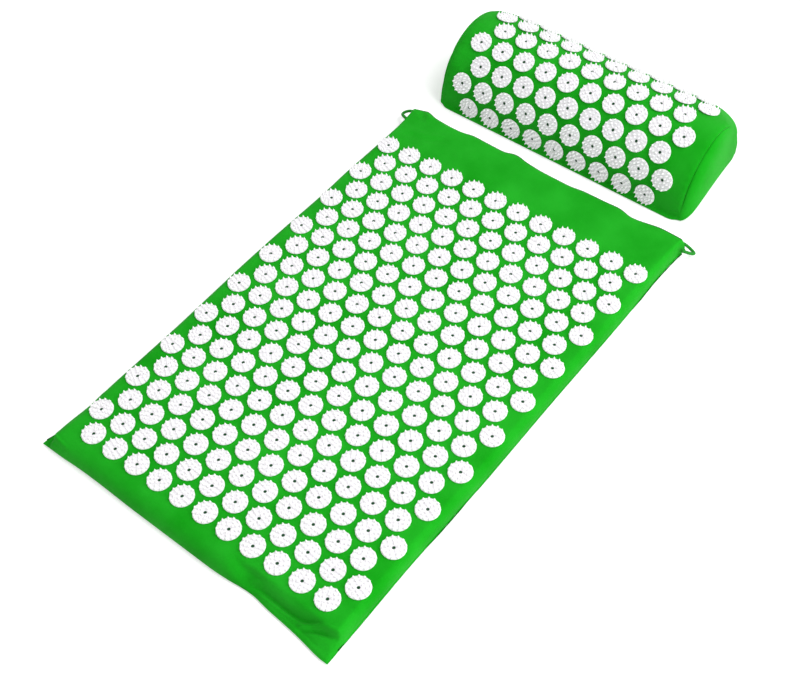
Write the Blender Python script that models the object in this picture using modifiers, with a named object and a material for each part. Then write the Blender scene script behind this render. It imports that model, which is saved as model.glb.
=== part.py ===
"""Acupressure mat with its neck pillow, in metres, +Z up.

The mat lies flat with the middle of its underside at the origin and its head end towards +Y.
The pillow stands behind the head end on the same floor. Both are cotton covers over foam, with
white plastic spiked discs welded on the top cloth. Each cover opens along one edge with a zip
that runs along X, so that the foam can be taken out for washing.
"""

import math

import bmesh
import bpy
from mathutils import Matrix, Vector

MM = 0.001

# Fit
GAP = 0.3 * MM                    # between pieces that touch
OVERRUN = 1.0 * MM                # how far a cutter runs past what it cuts

# Spiked discs
DISC_DIA = 27.5 * MM
DISC_PLATE = 1.2 * MM
DISC_SPIKE_HEIGHT = 4.8 * MM
DISC_SPACE = 6.0 * MM             # cloth seen between two discs of a row
DISC_SPIKES = 8                   # broad teeth that stand for the outer ring of spikes
SPIKE_TIP_SHARE = 0.85            # of the disc's radius
SPIKE_ROOT_SHARE = 0.76           # of the disc's radius, inner edge of the spikes' roots

# Cloth, seams and foam
CLOTH = 0.9 * MM
SEAM_ALLOWANCE = 3.0 * MM         # cloth turned inwards along a seam
RIM_HEIGHT = 5.2 * MM             # where the underside's cloth meets the top cloth
BASE_ROLL = 2.0 * MM
ROLL_STEPS = 3

# Mat
MAT_ROWS = 20
MAT_ROW_DISCS = 12                # in a long row, one fewer in the rows between
ROW_PITCH_SHARE = 0.8456          # row pitch over disc pitch
MAT_FOAM = 20.0 * MM
MAT_SIDE_MARGIN = 8.0 * MM        # from the outer discs to the edge
MAT_HEAD_MARGIN = 65.0 * MM
MAT_FOOT_MARGIN = 28.8 * MM
MAT_CORNER = 5.0 * MM
MAT_ROLL_SHARE = 0.85             # rolled top edge over side margin
MAT_SIDE_DRAW = 1.2 * MM          # how far a side is drawn in between its corners
MAT_FOOT_DRAW = 4.0 * MM
MAT_FOOT_FLARE = 5.0 * MM         # how far the foot corners stick out past the head corners
MAT_SIDE_STEPS = 6
CORNER_STEPS = 3
FOAM_CORNER_SHARE = 0.2           # foam's corner radius over the cover's
FOAM_EASE_SHARE = 0.45            # foam's cut top edge over the cover's roll

# Pillow
PILLOW_ROWS = 7
PILLOW_ROW_DISCS = 10             # in a long row; the first and last rows are short ones
PILLOW_RADIUS = 81.0 * MM         # to the cloth under a disc
PILLOW_ROW_PITCH = 28.8 * MM
PILLOW_FRONT_ROW = math.radians(173.2)   # turn of the lowest row from +Y, about the axis
PILLOW_END_MARGIN = 18.5 * MM
PILLOW_CROWN = 12.0 * MM          # how far an end panel bulges
PILLOW_BACK_FACETS = 3
PILLOW_BACK_ROUND = 12.0 * MM      # radius of the turn from the last row down to the back wall
PILLOW_GAP = 41.1 * MM            # floor between the mat and the pillow
PILLOW_SHIFT = -11.7 * MM         # off the mat's middle, as the pair was laid out
CROWN_SHARES = ((1.0, 0.0), (1.0, 0.12), (0.95, 0.42), (0.82, 0.72), (0.55, 0.93), (0.25, 1.0))
FOAM_PLAN_SHARE = 0.985           # foam's swell over the end panel's, seen from the end

# Corner loops
CORD_DIA = 2.8 * MM
LOOP_RADIUS = 7.5 * MM
LOOP_HEIGHT = 12.0 * MM
LOOP_DROOP = 3.0 * MM
LOOP_STEPS = 18
LEFT_LOOP_BACK = 10.5 * MM         # from the head end; that loop is sewn to the side edge alone

# Zips
MAT_ZIP_MARGIN = 41.0 * MM        # from the head corners to the zip's ends
PILLOW_ZIP_MARGIN = 18.0 * MM     # from the end seams to the zip's ends
SLOT_HALF = 4.2 * MM              # half of the slot in the cloth
TAPE_LAP = 1.6 * MM               # tape behind the cloth
TAPE_THICK = 0.5 * MM
TEETH_WIDTH = 1.7 * MM            # one row
TEETH_THICK = 2.2 * MM
TEETH_SPACE = 1.2 * MM            # between the two rows, where the slider's post passes
STOP_LENGTH = 2.5 * MM
STOP_PROUD = 0.2 * MM
SLIDER_LENGTH = 9.5 * MM
SLIDER_WALL = 0.9 * MM
SLIDER_REAR_SHARE = 0.85          # rear width over front width
SLIDER_CHAMFER_SHARE = 0.22       # cut corners over front width
POST_LENGTH = 3.0 * MM
POST_WIDTH = 0.6 * MM
BAIL_LENGTH = 6.2 * MM
BAIL_THICK = 0.7 * MM
BAIL_WIDTH = 1.6 * MM
PULL_LENGTH = 20.0 * MM
PULL_WIDTH = 5.2 * MM
PULL_TIP_WIDTH = 4.2 * MM
PULL_THICK = 1.0 * MM
PULL_CORNER = 1.2 * MM

# Worked out from the sizes above
DISC_RADIUS = DISC_DIA / 2
DISC_PITCH = DISC_DIA + DISC_SPACE
ROW_PITCH = DISC_PITCH * ROW_PITCH_SHARE
SEAM_HEIGHT = RIM_HEIGHT + GAP
FLANGE = CLOTH + SEAM_ALLOWANCE

MAT_WIDTH = (MAT_ROW_DISCS - 1) * DISC_PITCH + DISC_DIA + 2 * MAT_SIDE_MARGIN
MAT_FIELD = (MAT_ROWS - 1) * ROW_PITCH + DISC_DIA
MAT_LENGTH = MAT_FIELD + MAT_HEAD_MARGIN + MAT_FOOT_MARGIN
MAT_FIELD_SHIFT = (MAT_FOOT_MARGIN - MAT_HEAD_MARGIN) / 2
MAT_TOP = MAT_FOAM + 2 * (CLOTH + GAP)
MAT_ROLL = MAT_ROLL_SHARE * MAT_SIDE_MARGIN

ZIP_RISE = RIM_HEIGHT - CLOTH - GAP + SLOT_HALF     # chain's middle over the floor
TAPE_DEPTH = CLOTH + GAP + TAPE_THICK / 2           # chain's middle behind the wall's face
CHANNEL_HALF = TEETH_SPACE / 2 + TEETH_WIDTH + GAP
SLIDER_HALF_WIDTH = CHANNEL_HALF + SLIDER_WALL + GAP
SLIDER_HALF_DEPTH = TEETH_THICK / 2 + GAP + SLIDER_WALL
SLIDER_INNER_REACH = TAPE_DEPTH + SLIDER_HALF_DEPTH
FOAM_INSET = max(FLANGE, SLIDER_INNER_REACH) + GAP
PULL_LIFT = PULL_THICK / 2 + GAP                    # hinge's height over the slider's face
BAIL_WINDOW = PULL_LIFT + PULL_THICK * math.sqrt(0.5) + GAP
EYE_LENGTH = BAIL_LENGTH / 2 + 2 * GAP
EYE_WIDTH = BAIL_WIDTH + 2 * GAP

PILLOW_STEP = PILLOW_ROW_PITCH / PILLOW_RADIUS
PILLOW_VERTEX_RADIUS = PILLOW_RADIUS / math.cos(PILLOW_STEP / 2)
PILLOW_RIM = CLOTH + GAP
PILLOW_AXIS_HEIGHT = PILLOW_RIM - PILLOW_VERTEX_RADIUS * math.sin(PILLOW_FRONT_ROW + PILLOW_STEP / 2)
PILLOW_FRONT_REACH = -PILLOW_VERTEX_RADIUS * math.cos(PILLOW_FRONT_ROW + PILLOW_STEP / 2)
PILLOW_HALF = ((PILLOW_ROW_DISCS - 1) * DISC_PITCH + DISC_DIA) / 2 + PILLOW_END_MARGIN
PILLOW_Y = MAT_LENGTH / 2 + PILLOW_GAP + PILLOW_FRONT_REACH
PILLOW_REAR_ROW = PILLOW_FRONT_ROW - (PILLOW_ROWS - 1) * PILLOW_STEP
PILLOW_HALF_FLAT = PILLOW_RADIUS * math.tan(PILLOW_STEP / 2)

MAT_ZIP_HALF = MAT_WIDTH / 2 - MAT_ZIP_MARGIN
PILLOW_ZIP_HALF = PILLOW_HALF - PILLOW_ZIP_MARGIN


def clear_scene():
    for old in list(bpy.data.objects):
        bpy.data.objects.remove(old, do_unlink=True)


def new_collection(name):
    made = bpy.data.collections.new(name)
    bpy.context.scene.collection.children.link(made)
    return made


def new_material(name, colour, roughness, metallic=0.0):
    made = bpy.data.materials.new(name)
    made.use_nodes = True
    shader = made.node_tree.nodes["Principled BSDF"]
    shader.inputs["Base Color"].default_value = (*colour, 1.0)
    shader.inputs["Roughness"].default_value = roughness
    shader.inputs["Metallic"].default_value = metallic
    return made


def new_object(name, mesh, collection, materials=()):
    made = bpy.data.objects.new(name, mesh)
    collection.objects.link(made)
    for finish in materials:
        mesh.materials.append(finish)
    return made


def face_outwards(bm):
    """Turns every face away from the middle, also on an open surface."""
    bmesh.ops.recalc_face_normals(bm, faces=bm.faces)
    middle = sum((vert.co for vert in bm.verts), Vector()) / len(bm.verts)
    lean = 0
    for face in bm.faces:
        lean += face.calc_area() * face.normal.dot(face.calc_center_median() - middle)
    if lean < 0:
        bmesh.ops.reverse_faces(bm, faces=bm.faces)


def mesh_of(name, bm):
    mesh = bpy.data.meshes.new(name)
    face_outwards(bm)
    bm.to_mesh(mesh)
    bm.free()
    return mesh


def lofted_surface(rings, closed=True, cap=False):
    """An open surface through rings that have the same count of points."""
    bm = bmesh.new()
    rows = [[bm.verts.new(point) for point in ring] for ring in rings]
    count = len(rows[0])
    last = count if closed else count - 1
    for lower, upper in zip(rows, rows[1:]):
        for i in range(last):
            j = (i + 1) % count
            bm.faces.new((lower[i], lower[j], upper[j], upper[i]))
    if cap:
        bm.faces.new(rows[-1])
    return bm


def box(name, collection, low, high):
    """A block between two corners, from the cube primitive."""
    bm = bmesh.new()
    size = [b - a for a, b in zip(low, high)]
    middle = [(a + b) / 2 for a, b in zip(low, high)]
    fit = Matrix.Translation(middle) @ Matrix.Diagonal((*size, 1))
    bmesh.ops.create_cube(bm, size=1, matrix=fit)
    return new_object(name, mesh_of(name, bm), collection)


def plate(outline, low, high, axis):
    """A flat outline given in the other two axes, raised from low to high along one axis."""
    bm = bmesh.new()
    base = []
    for a, b in outline:
        point = [a, b]
        point.insert(axis, low)
        base.append(bm.verts.new(point))
    face = bm.faces.new(base)
    raised = bmesh.ops.extrude_face_region(bm, geom=[face])
    step = Vector((0, 0, 0))
    step[axis] = high - low
    moved = [item for item in raised["geom"] if isinstance(item, bmesh.types.BMVert)]
    bmesh.ops.translate(bm, verts=moved, vec=step)
    return bm


def wall(obj, thickness=CLOTH):
    """Cloth thickness, laid inwards from the surface."""
    shell = obj.modifiers.new("cloth", "SOLIDIFY")
    shell.thickness = thickness
    shell.offset = -1
    shell.use_even_offset = True


def combine(obj, other, operation):
    step = obj.modifiers.new(other.name, "BOOLEAN")
    step.object = other
    step.operation = operation
    step.solver = "EXACT"


def hide_cutter(obj):
    obj.hide_render = True
    obj.display_type = "WIRE"
    return obj


def applied_mesh(obj):
    """The mesh with its modifiers worked in, for more modelling."""
    bpy.context.view_layer.update()
    graph = bpy.context.evaluated_depsgraph_get()
    mesh = bpy.data.meshes.new_from_object(obj.evaluated_get(graph))
    obj.modifiers.clear()
    obj.data = mesh
    return mesh


# Spiked discs

def disc_crown(bm, place, finish):
    """One disc on the cloth: a plate with a ring of spikes. Returns the edges of its foot."""
    turn = 2 * math.pi / DISC_SPIKES

    def ring(radius, height, shift):
        points = []
        for i in range(DISC_SPIKES):
            angle = (i + shift) * turn
            flat = Vector((radius * math.cos(angle), radius * math.sin(angle), height))
            points.append(bm.verts.new(place @ flat))
        return points

    feet = ring(DISC_RADIUS, 0, 0)
    roots = ring(DISC_RADIUS * SPIKE_ROOT_SHARE, DISC_PLATE, 0)
    tips = ring(DISC_RADIUS * SPIKE_TIP_SHARE, DISC_SPIKE_HEIGHT, 0.5)
    made = [bm.faces.new(roots)]
    for i in range(DISC_SPIKES):
        j = (i + 1) % DISC_SPIKES
        made.append(bm.faces.new((feet[i], feet[j], tips[i])))
        made.append(bm.faces.new((roots[j], roots[i], tips[i])))
        made.append(bm.faces.new((feet[j], roots[j], tips[i])))
        made.append(bm.faces.new((feet[j], tips[j], roots[j])))
    for face in made:
        face.material_index = finish
    return [bm.edges.get((feet[i], feet[(i + 1) % DISC_SPIKES])) for i in range(DISC_SPIKES)]


def weld_discs(bm, panel, places, finish):
    """Swaps a flat panel for the same panel with discs welded on it."""
    normal = panel.normal.copy()
    border = list(panel.edges)
    bmesh.ops.delete(bm, geom=[panel], context="FACES_ONLY")
    for place in places:
        border += disc_crown(bm, place, finish)
    bmesh.ops.triangle_fill(bm, edges=border, normal=normal, use_beauty=True)


def staggered(count, rows, long_first):
    """Row by row, the places of the discs along X."""
    for row in range(rows):
        long_row = (row % 2 == 0) == long_first
        discs = count if long_row else count - 1
        for i in range(discs):
            yield row, (i - (discs - 1) / 2) * DISC_PITCH


# Mat

def mat_outline(inset, height):
    """The mat's plan outline: foot corners flared, sides and foot drawn in, straight at the zip."""
    half_x = MAT_WIDTH / 2 - inset
    half_y = MAT_LENGTH / 2 - inset
    radius = max(MAT_CORNER - inset, MAT_CORNER * FOAM_CORNER_SHARE)
    run_x, run_y = half_x - radius, half_y - radius
    foot_x = run_x + MAT_FOOT_FLARE
    points = []

    def arc(mid_x, mid_y, start):
        for i in range(CORNER_STEPS + 1):
            angle = start + i * math.pi / 2 / CORNER_STEPS
            points.append((mid_x + radius * math.cos(angle), mid_y + radius * math.sin(angle), height))

    def side_x(s):
        return half_x - MAT_SIDE_DRAW * (1 - s * s) + MAT_FOOT_FLARE * ((1 - s) / 2) ** 2

    shares = [2 * i / MAT_SIDE_STEPS - 1 for i in range(1, MAT_SIDE_STEPS)]
    arc(foot_x, -run_y, -math.pi / 2)
    points += [(side_x(s), s * run_y, height) for s in shares]
    arc(run_x, run_y, 0)
    arc(-run_x, run_y, math.pi / 2)
    points += [(-side_x(-s), -s * run_y, height) for s in shares]
    arc(-foot_x, -run_y, math.pi)
    points += [(s * foot_x, -half_y + MAT_FOOT_DRAW * (1 - s * s), height) for s in shares]
    return points


def rolled_rings(level, turn, roll, outline):
    """Rings that roll from an upright wall into the flat face at a level."""
    rings = []
    for i in range(ROLL_STEPS + 1):
        angle = i * math.pi / 2 / ROLL_STEPS
        rings.append(outline(roll * (1 - math.cos(angle)), level - turn * roll * (1 - math.sin(angle))))
    return rings


def zip_slot(name, cutters, middle, wall_y, zip_half):
    """The block that opens the wall and its seam allowance for the zip."""
    low = (middle - zip_half, wall_y - FLANGE - OVERRUN, ZIP_RISE - SLOT_HALF)
    high = (middle + zip_half, wall_y + OVERRUN, ZIP_RISE + SLOT_HALF)
    return hide_cutter(box(name, cutters, low, high))


def mat_top_cover(parts, slot, cloth, plastic):
    rings = [mat_outline(FLANGE, SEAM_HEIGHT), mat_outline(0, SEAM_HEIGHT)]
    rings += rolled_rings(MAT_TOP, 1, MAT_ROLL, mat_outline)
    surface = lofted_surface(rings, cap=True)
    cover = new_object("mat_top_cover", mesh_of("mat_top_cover", surface), parts, (cloth, plastic))
    wall(cover)
    combine(cover, slot, "DIFFERENCE")
    bm = bmesh.new()
    bm.from_mesh(applied_mesh(cover))
    upper = [face for face in bm.faces if face.calc_center_median().z > MAT_TOP - GAP]
    top = max(upper, key=lambda face: face.calc_area())
    places = []
    for row, x in staggered(MAT_ROW_DISCS, MAT_ROWS, True):
        y = MAT_FIELD_SHIFT + ((MAT_ROWS - 1) / 2 - row) * ROW_PITCH
        places.append(Matrix.Translation((x, y, MAT_TOP)))
    weld_discs(bm, top, places, 1)
    bmesh.ops.recalc_face_normals(bm, faces=bm.faces)
    bm.to_mesh(cover.data)
    bm.free()
    return cover


def mat_bottom_cover(parts, slot, cloth):
    rings = [mat_outline(FLANGE, RIM_HEIGHT), mat_outline(0, RIM_HEIGHT)]
    rings += rolled_rings(0, -1, BASE_ROLL, mat_outline)
    surface = lofted_surface(rings, cap=True)
    cover = new_object("mat_bottom_cover", mesh_of("mat_bottom_cover", surface), parts, (cloth,))
    wall(cover)
    combine(cover, slot, "DIFFERENCE")
    return cover


def mat_foam_core(parts, foam):
    low = CLOTH + GAP
    high = low + MAT_FOAM
    ease = MAT_ROLL * FOAM_EASE_SHARE
    rings = [mat_outline(FOAM_INSET, low), mat_outline(FOAM_INSET, high - ease)]
    rings.append(mat_outline(FOAM_INSET + ease, high))
    bm = lofted_surface(rings, cap=True)
    bm.faces.new([vert for vert in bm.verts if vert.co.z < low + GAP])
    return new_object("mat_foam_core", mesh_of("mat_foam_core", bm), parts, (foam,))


def corner_loop(name, side, back, sweep, parts, cord):
    """A cord loop at one head corner, from the side edge round through an angle."""
    middle = Vector((side * MAT_WIDTH / 2, MAT_LENGTH / 2 - back, LOOP_HEIGHT))
    clear = 2 * GAP / LOOP_RADIUS
    start, end = clear - math.pi / 2, sweep - clear - math.pi / 2
    curve = bpy.data.curves.new(name, "CURVE")
    curve.dimensions = "3D"
    curve.bevel_depth = CORD_DIA / 2
    curve.bevel_resolution = 2
    curve.use_fill_caps = True
    spline = curve.splines.new("POLY")
    spline.points.add(LOOP_STEPS)
    for i, point in enumerate(spline.points):
        share = i / LOOP_STEPS
        angle = start + (end - start) * share
        offset = Vector((side * math.cos(angle), math.sin(angle), 0)) * LOOP_RADIUS
        offset.z = -LOOP_DROOP * math.sin(math.pi * share) ** 2
        point.co = (*(middle + offset), 1)
    loop = bpy.data.objects.new(name, curve)
    parts.objects.link(loop)
    curve.materials.append(cord)
    return loop


# Pillow

def crossing(first, second):
    """Where two lines meet; each is the turn of its normal and its distance from the axis."""
    (a, d), (b, e) = first, second
    spread = math.sin(b - a)
    y = (d * math.sin(b) - e * math.sin(a)) / spread
    z = (e * math.cos(a) - d * math.cos(b)) / spread
    return y, z


def back_distance(turn):
    """From the axis to a flat behind the last row, where the section turns down more tightly."""
    away = PILLOW_REAR_ROW - turn
    straight = (PILLOW_RADIUS - PILLOW_BACK_ROUND) * math.cos(away) + PILLOW_HALF_FLAT * math.sin(away)
    return straight + PILLOW_BACK_ROUND


def pillow_section(inset, front_level, back_level, back_inset):
    """The pillow's half-round section in flats, from its front foot over the top to its back."""
    flats = [(PILLOW_FRONT_ROW - i * PILLOW_STEP, PILLOW_RADIUS - inset) for i in range(PILLOW_ROWS)]
    for i in range(1, PILLOW_BACK_FACETS):
        turn = PILLOW_REAR_ROW * (1 - i / PILLOW_BACK_FACETS)
        flats.append((turn, back_distance(turn) - inset))
    flats.append((0, back_distance(0) - back_inset))
    foot = crossing(flats[0], (-math.pi / 2, PILLOW_AXIS_HEIGHT - front_level))
    heel = crossing(flats[-1], (-math.pi / 2, PILLOW_AXIS_HEIGHT - back_level))
    corners = [crossing(a, b) for a, b in zip(flats, flats[1:])]
    return [(PILLOW_Y + y, PILLOW_AXIS_HEIGHT + z) for y, z in [foot, *corners, heel]]


def section_ring(x, inset, front_level, back_level, share=1.0, back_inset=0):
    """The section at a place along the pillow, drawn together towards its middle by a share."""
    mid_y, mid_z = PILLOW_Y, PILLOW_AXIS_HEIGHT + PILLOW_RADIUS / 2
    ring = []
    for y, z in pillow_section(inset, front_level, back_level, max(inset, back_inset)):
        ring.append((PILLOW_SHIFT + x, mid_y + (y - mid_y) * share, mid_z + (z - mid_z) * share))
    return ring


def pillow_top_cover(parts, slot, cloth, plastic):
    rings = []
    for x, inset in ((-PILLOW_HALF, FLANGE), (-PILLOW_HALF, 0), (PILLOW_HALF, 0), (PILLOW_HALF, FLANGE)):
        rings.append(section_ring(x, inset, PILLOW_RIM, SEAM_HEIGHT))
    surface = lofted_surface(rings, closed=False)
    cover = new_object("pillow_top_cover", mesh_of("pillow_top_cover", surface), parts, (cloth, plastic))
    wall(cover)
    combine(cover, slot, "DIFFERENCE")
    bm = bmesh.new()
    bm.from_mesh(applied_mesh(cover))
    for row in range(PILLOW_ROWS):
        turn = PILLOW_FRONT_ROW - row * PILLOW_STEP
        out = Vector((0, math.cos(turn), math.sin(turn)))
        middle = Vector((PILLOW_SHIFT, PILLOW_Y, PILLOW_AXIS_HEIGHT)) + out * PILLOW_RADIUS
        flat = min(bm.faces, key=lambda face: (face.calc_center_median() - middle).length)
        upright = Matrix.Rotation(turn - math.pi / 2, 4, "X")
        places = []
        for _, x in staggered(PILLOW_ROW_DISCS, 1, row % 2 == 1):
            places.append(Matrix.Translation(middle + Vector((x, 0, 0))) @ upright)
        weld_discs(bm, flat, places, 1)
    bmesh.ops.recalc_face_normals(bm, faces=bm.faces)
    bm.to_mesh(cover.data)
    bm.free()
    return cover


def pillow_base_panel(parts, slot, cloth):
    """The flat underside, turned up along the back to meet the zip."""
    front = pillow_section(0, 0, 0, 0)[0][0]
    back = PILLOW_Y + back_distance(0)
    profile = [(front, 0), (back - BASE_ROLL, 0), (back, BASE_ROLL), (back, RIM_HEIGHT)]
    rings = [[(PILLOW_SHIFT + x, y, z) for y, z in profile] for x in (-PILLOW_HALF, PILLOW_HALF)]
    surface = lofted_surface(rings, closed=False)
    panel = new_object("pillow_base_panel", mesh_of("pillow_base_panel", surface), parts, (cloth,))
    wall(panel)
    combine(panel, slot, "DIFFERENCE")
    return panel


def pillow_end_panel(name, side, parts, cloth):
    """The half-round panel that closes an end, swollen by the foam behind it."""
    rings = []
    for share, rise in CROWN_SHARES:
        x = side * (PILLOW_HALF + GAP + PILLOW_CROWN * rise)
        rings.append(section_ring(x, 0, 0, 0, share))
    surface = lofted_surface(rings, cap=True)
    panel = new_object(name, mesh_of(name, surface), parts, (cloth,))
    wall(panel)
    return panel


def pillow_foam_core(parts, foam):
    """The foam block, with ends that swell through the seam's ring into the end panels."""
    inset = CLOTH + GAP
    crown = PILLOW_CROWN - 2 * inset
    end = PILLOW_HALF - CLOTH - GAP
    neck = FLANGE + GAP
    right = [section_ring(end, inset, inset, inset, 1, FOAM_INSET), section_ring(end, neck, neck, neck)]
    for share, rise in CROWN_SHARES[2:]:
        plan = share * FOAM_PLAN_SHARE
        right.append(section_ring(end + crown * rise, inset, inset, inset, plan, FOAM_INSET))
    left = [[(2 * PILLOW_SHIFT - x, y, z) for x, y, z in ring] for ring in reversed(right)]
    bm = lofted_surface(left + right, cap=True)
    bm.verts.ensure_lookup_table()
    bm.faces.new([bm.verts[i] for i in range(len(left[0]))])
    return new_object("pillow_foam_core", mesh_of("pillow_foam_core", bm), parts, (foam,))


# Zips

def slider_outline():
    """One wing of the slider in X and Z: broad at its mouth, narrower behind, corners cut."""
    front = SLIDER_HALF_WIDTH
    rear = SLIDER_HALF_WIDTH * SLIDER_REAR_SHARE
    cut = 2 * SLIDER_HALF_WIDTH * SLIDER_CHAMFER_SHARE
    half = SLIDER_LENGTH / 2
    side = [(half, front - cut), (half - cut, front), (cut - half, rear), (-half, rear - cut)]
    return side + [(x, -z) for x, z in reversed(side)]


def slider(name, parts, cutters, metal, joint):
    """Two wings round the teeth, joined by the post that parts the rows, with a bail on top."""
    body = new_object(name, mesh_of(name, plate(slider_outline(), -SLIDER_HALF_DEPTH, SLIDER_HALF_DEPTH, 1)),
                      parts, (metal,))
    reach = SLIDER_LENGTH / 2 + OVERRUN
    channel_depth = TEETH_THICK / 2 + GAP
    tape_depth = TAPE_THICK / 2 + GAP
    side_reach = SLIDER_HALF_WIDTH + OVERRUN
    channel = box(name + "_channel", cutters, (-reach, -channel_depth, -CHANNEL_HALF),
                  (reach, channel_depth, CHANNEL_HALF))
    tape_way = box(name + "_tape_way", cutters, (-reach, -tape_depth, -side_reach),
                   (reach, tape_depth, side_reach))
    front = SLIDER_LENGTH / 2 - SLIDER_WALL
    post = box(name + "_post", cutters, (front - POST_LENGTH, -channel_depth - GAP, -POST_WIDTH / 2),
               (front, channel_depth + GAP, POST_WIDTH / 2))
    half = BAIL_LENGTH / 2
    foot = SLIDER_HALF_DEPTH - GAP
    inner = SLIDER_HALF_DEPTH + BAIL_WINDOW
    outer = inner + BAIL_THICK
    side = half - BAIL_THICK
    arch = [(-half, foot), (-side, foot), (-side, inner), (side, inner), (side, foot), (half, foot),
            (half, outer - BAIL_THICK), (side, outer), (-side, outer), (-half, outer - BAIL_THICK)]
    bail = new_object(name + "_bail", mesh_of(name + "_bail", plate(arch, -BAIL_WIDTH / 2, BAIL_WIDTH / 2, 2)),
                      cutters)
    for cutter in (channel, tape_way):
        combine(body, hide_cutter(cutter), "DIFFERENCE")
    for joined in (post, bail):
        combine(body, hide_cutter(joined), "UNION")
    for piece in (body, channel, tape_way, post, bail):
        piece.parent = joint
    return body


def pull_tab(name, parts, cutters, metal, joint):
    """The pull, lying along -X from its hinge: a bar in the bail, an eye round it and a grip."""
    bar = PULL_THICK / 2
    wide, tip = PULL_WIDTH / 2, PULL_TIP_WIDTH / 2
    side = [(bar, wide - PULL_CORNER), (bar - PULL_CORNER, wide),
            (PULL_CORNER - PULL_LENGTH, tip), (-PULL_LENGTH, tip - PULL_CORNER)]
    outline = side + [(x, -z) for x, z in reversed(side)]
    tab = new_object(name, mesh_of(name, plate(outline, -PULL_THICK / 2, PULL_THICK / 2, 1)), parts, (metal,))
    eye = box(name + "_eye", cutters, (-bar - EYE_LENGTH, -PULL_THICK, -EYE_WIDTH / 2),
              (-bar, PULL_THICK, EYE_WIDTH / 2))
    combine(tab, hide_cutter(eye), "DIFFERENCE")
    for piece in (tab, eye):
        piece.parent = joint
    return tab


def empty(name, collection, place, parent=None):
    made = bpy.data.objects.new(name, None)
    made.location = place
    made.parent = parent
    collection.objects.link(made)
    return made


def zip_fastener(prefix, middle, wall_y, zip_half, parts, cutters, finishes):
    """A zip along X behind a slot in an upright wall that faces +Y."""
    tape_cloth, nylon, metal = finishes
    chain = empty(prefix + "_zip", parts, (middle, wall_y - TAPE_DEPTH, ZIP_RISE))
    inner = TEETH_SPACE / 2
    outer = inner + TEETH_WIDTH
    tape_low, tape_high = outer + GAP, SLOT_HALF + TAPE_LAP
    tape_half = zip_half - GAP
    stop_high = tape_half - GAP
    stop_low = stop_high - STOP_LENGTH
    teeth_half = stop_low - GAP
    thick = TEETH_THICK / 2
    for side, word in ((1, "upper"), (-1, "lower")):
        def band(part, x_low, x_high, depth, z_low, z_high, finish):
            low_z, high_z = sorted((side * z_low, side * z_high))
            piece = box(f"{prefix}_zip_{part}_{word}", parts, (x_low, -depth, low_z), (x_high, depth, high_z))
            piece.data.materials.append(finish)
            piece.parent = chain

        band("tape", -tape_half, tape_half, TAPE_THICK / 2, tape_low, tape_high, tape_cloth)
        band("teeth", -teeth_half, teeth_half, thick, inner, outer, nylon)
        band("top_stop", stop_low, stop_high, thick + STOP_PROUD, inner, outer, metal)
    end_stop = box(prefix + "_zip_end_stop", parts, (-stop_high, -thick - STOP_PROUD, -outer),
                   (-stop_low, thick + STOP_PROUD, outer))
    end_stop.data.materials.append(metal)
    end_stop.parent = chain
    glide = empty(prefix + "_zip_slide", parts, (teeth_half - SLIDER_LENGTH / 2, 0, 0), chain)
    slider(prefix + "_zip_slider", parts, cutters, metal, glide)
    hinge = empty(prefix + "_zip_pull_hinge", parts, (0, SLIDER_HALF_DEPTH + PULL_LIFT, 0), glide)
    pull_tab(prefix + "_zip_pull", parts, cutters, metal, hinge)


def build():
    clear_scene()
    parts = new_collection("acupressure_mat")
    cutters = new_collection("cutters")
    cloth = new_material("green cotton", (0.03, 0.45, 0.03), 0.85)
    plastic = new_material("white plastic", (0.95, 0.94, 0.96), 0.35)
    foam = new_material("pale foam", (0.86, 0.84, 0.78), 0.95)
    cord = new_material("dark green cord", (0.01, 0.22, 0.02), 0.8)
    tape_cloth = new_material("green zip tape", (0.02, 0.33, 0.03), 0.85)
    nylon = new_material("green nylon teeth", (0.02, 0.3, 0.03), 0.45)
    metal = new_material("green enamelled metal", (0.02, 0.25, 0.03), 0.35, 0.2)
    finishes = (tape_cloth, nylon, metal)

    head = MAT_LENGTH / 2
    mat_slot = zip_slot("mat_zip_slot", cutters, 0, head, MAT_ZIP_HALF)
    mat_top_cover(parts, mat_slot, cloth, plastic)
    mat_bottom_cover(parts, mat_slot, cloth)
    mat_foam_core(parts, foam)
    corner_loop("corner_loop_left", -1, LEFT_LOOP_BACK, math.pi, parts, cord)
    corner_loop("corner_loop_right", 1, 0, math.pi * 3 / 2, parts, cord)
    zip_fastener("mat", 0, head, MAT_ZIP_HALF, parts, cutters, finishes)

    back = PILLOW_Y + back_distance(0)
    pillow_slot = zip_slot("pillow_zip_slot", cutters, PILLOW_SHIFT, back, PILLOW_ZIP_HALF)
    pillow_top_cover(parts, pillow_slot, cloth, plastic)
    pillow_base_panel(parts, pillow_slot, cloth)
    pillow_end_panel("pillow_end_panel_left", -1, parts, cloth)
    pillow_end_panel("pillow_end_panel_right", 1, parts, cloth)
    pillow_foam_core(parts, foam)
    zip_fastener("pillow", PILLOW_SHIFT, back, PILLOW_ZIP_HALF, parts, cutters, finishes)


build()
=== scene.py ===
"""Looks of the acupressure mat and its neck pillow, in metres, +Z up, head end towards +Y."""

import math

import bmesh
import bpy
import numpy as np
from mathutils import Euler, Matrix, Vector
from mathutils.bvhtree import BVHTree


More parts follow.
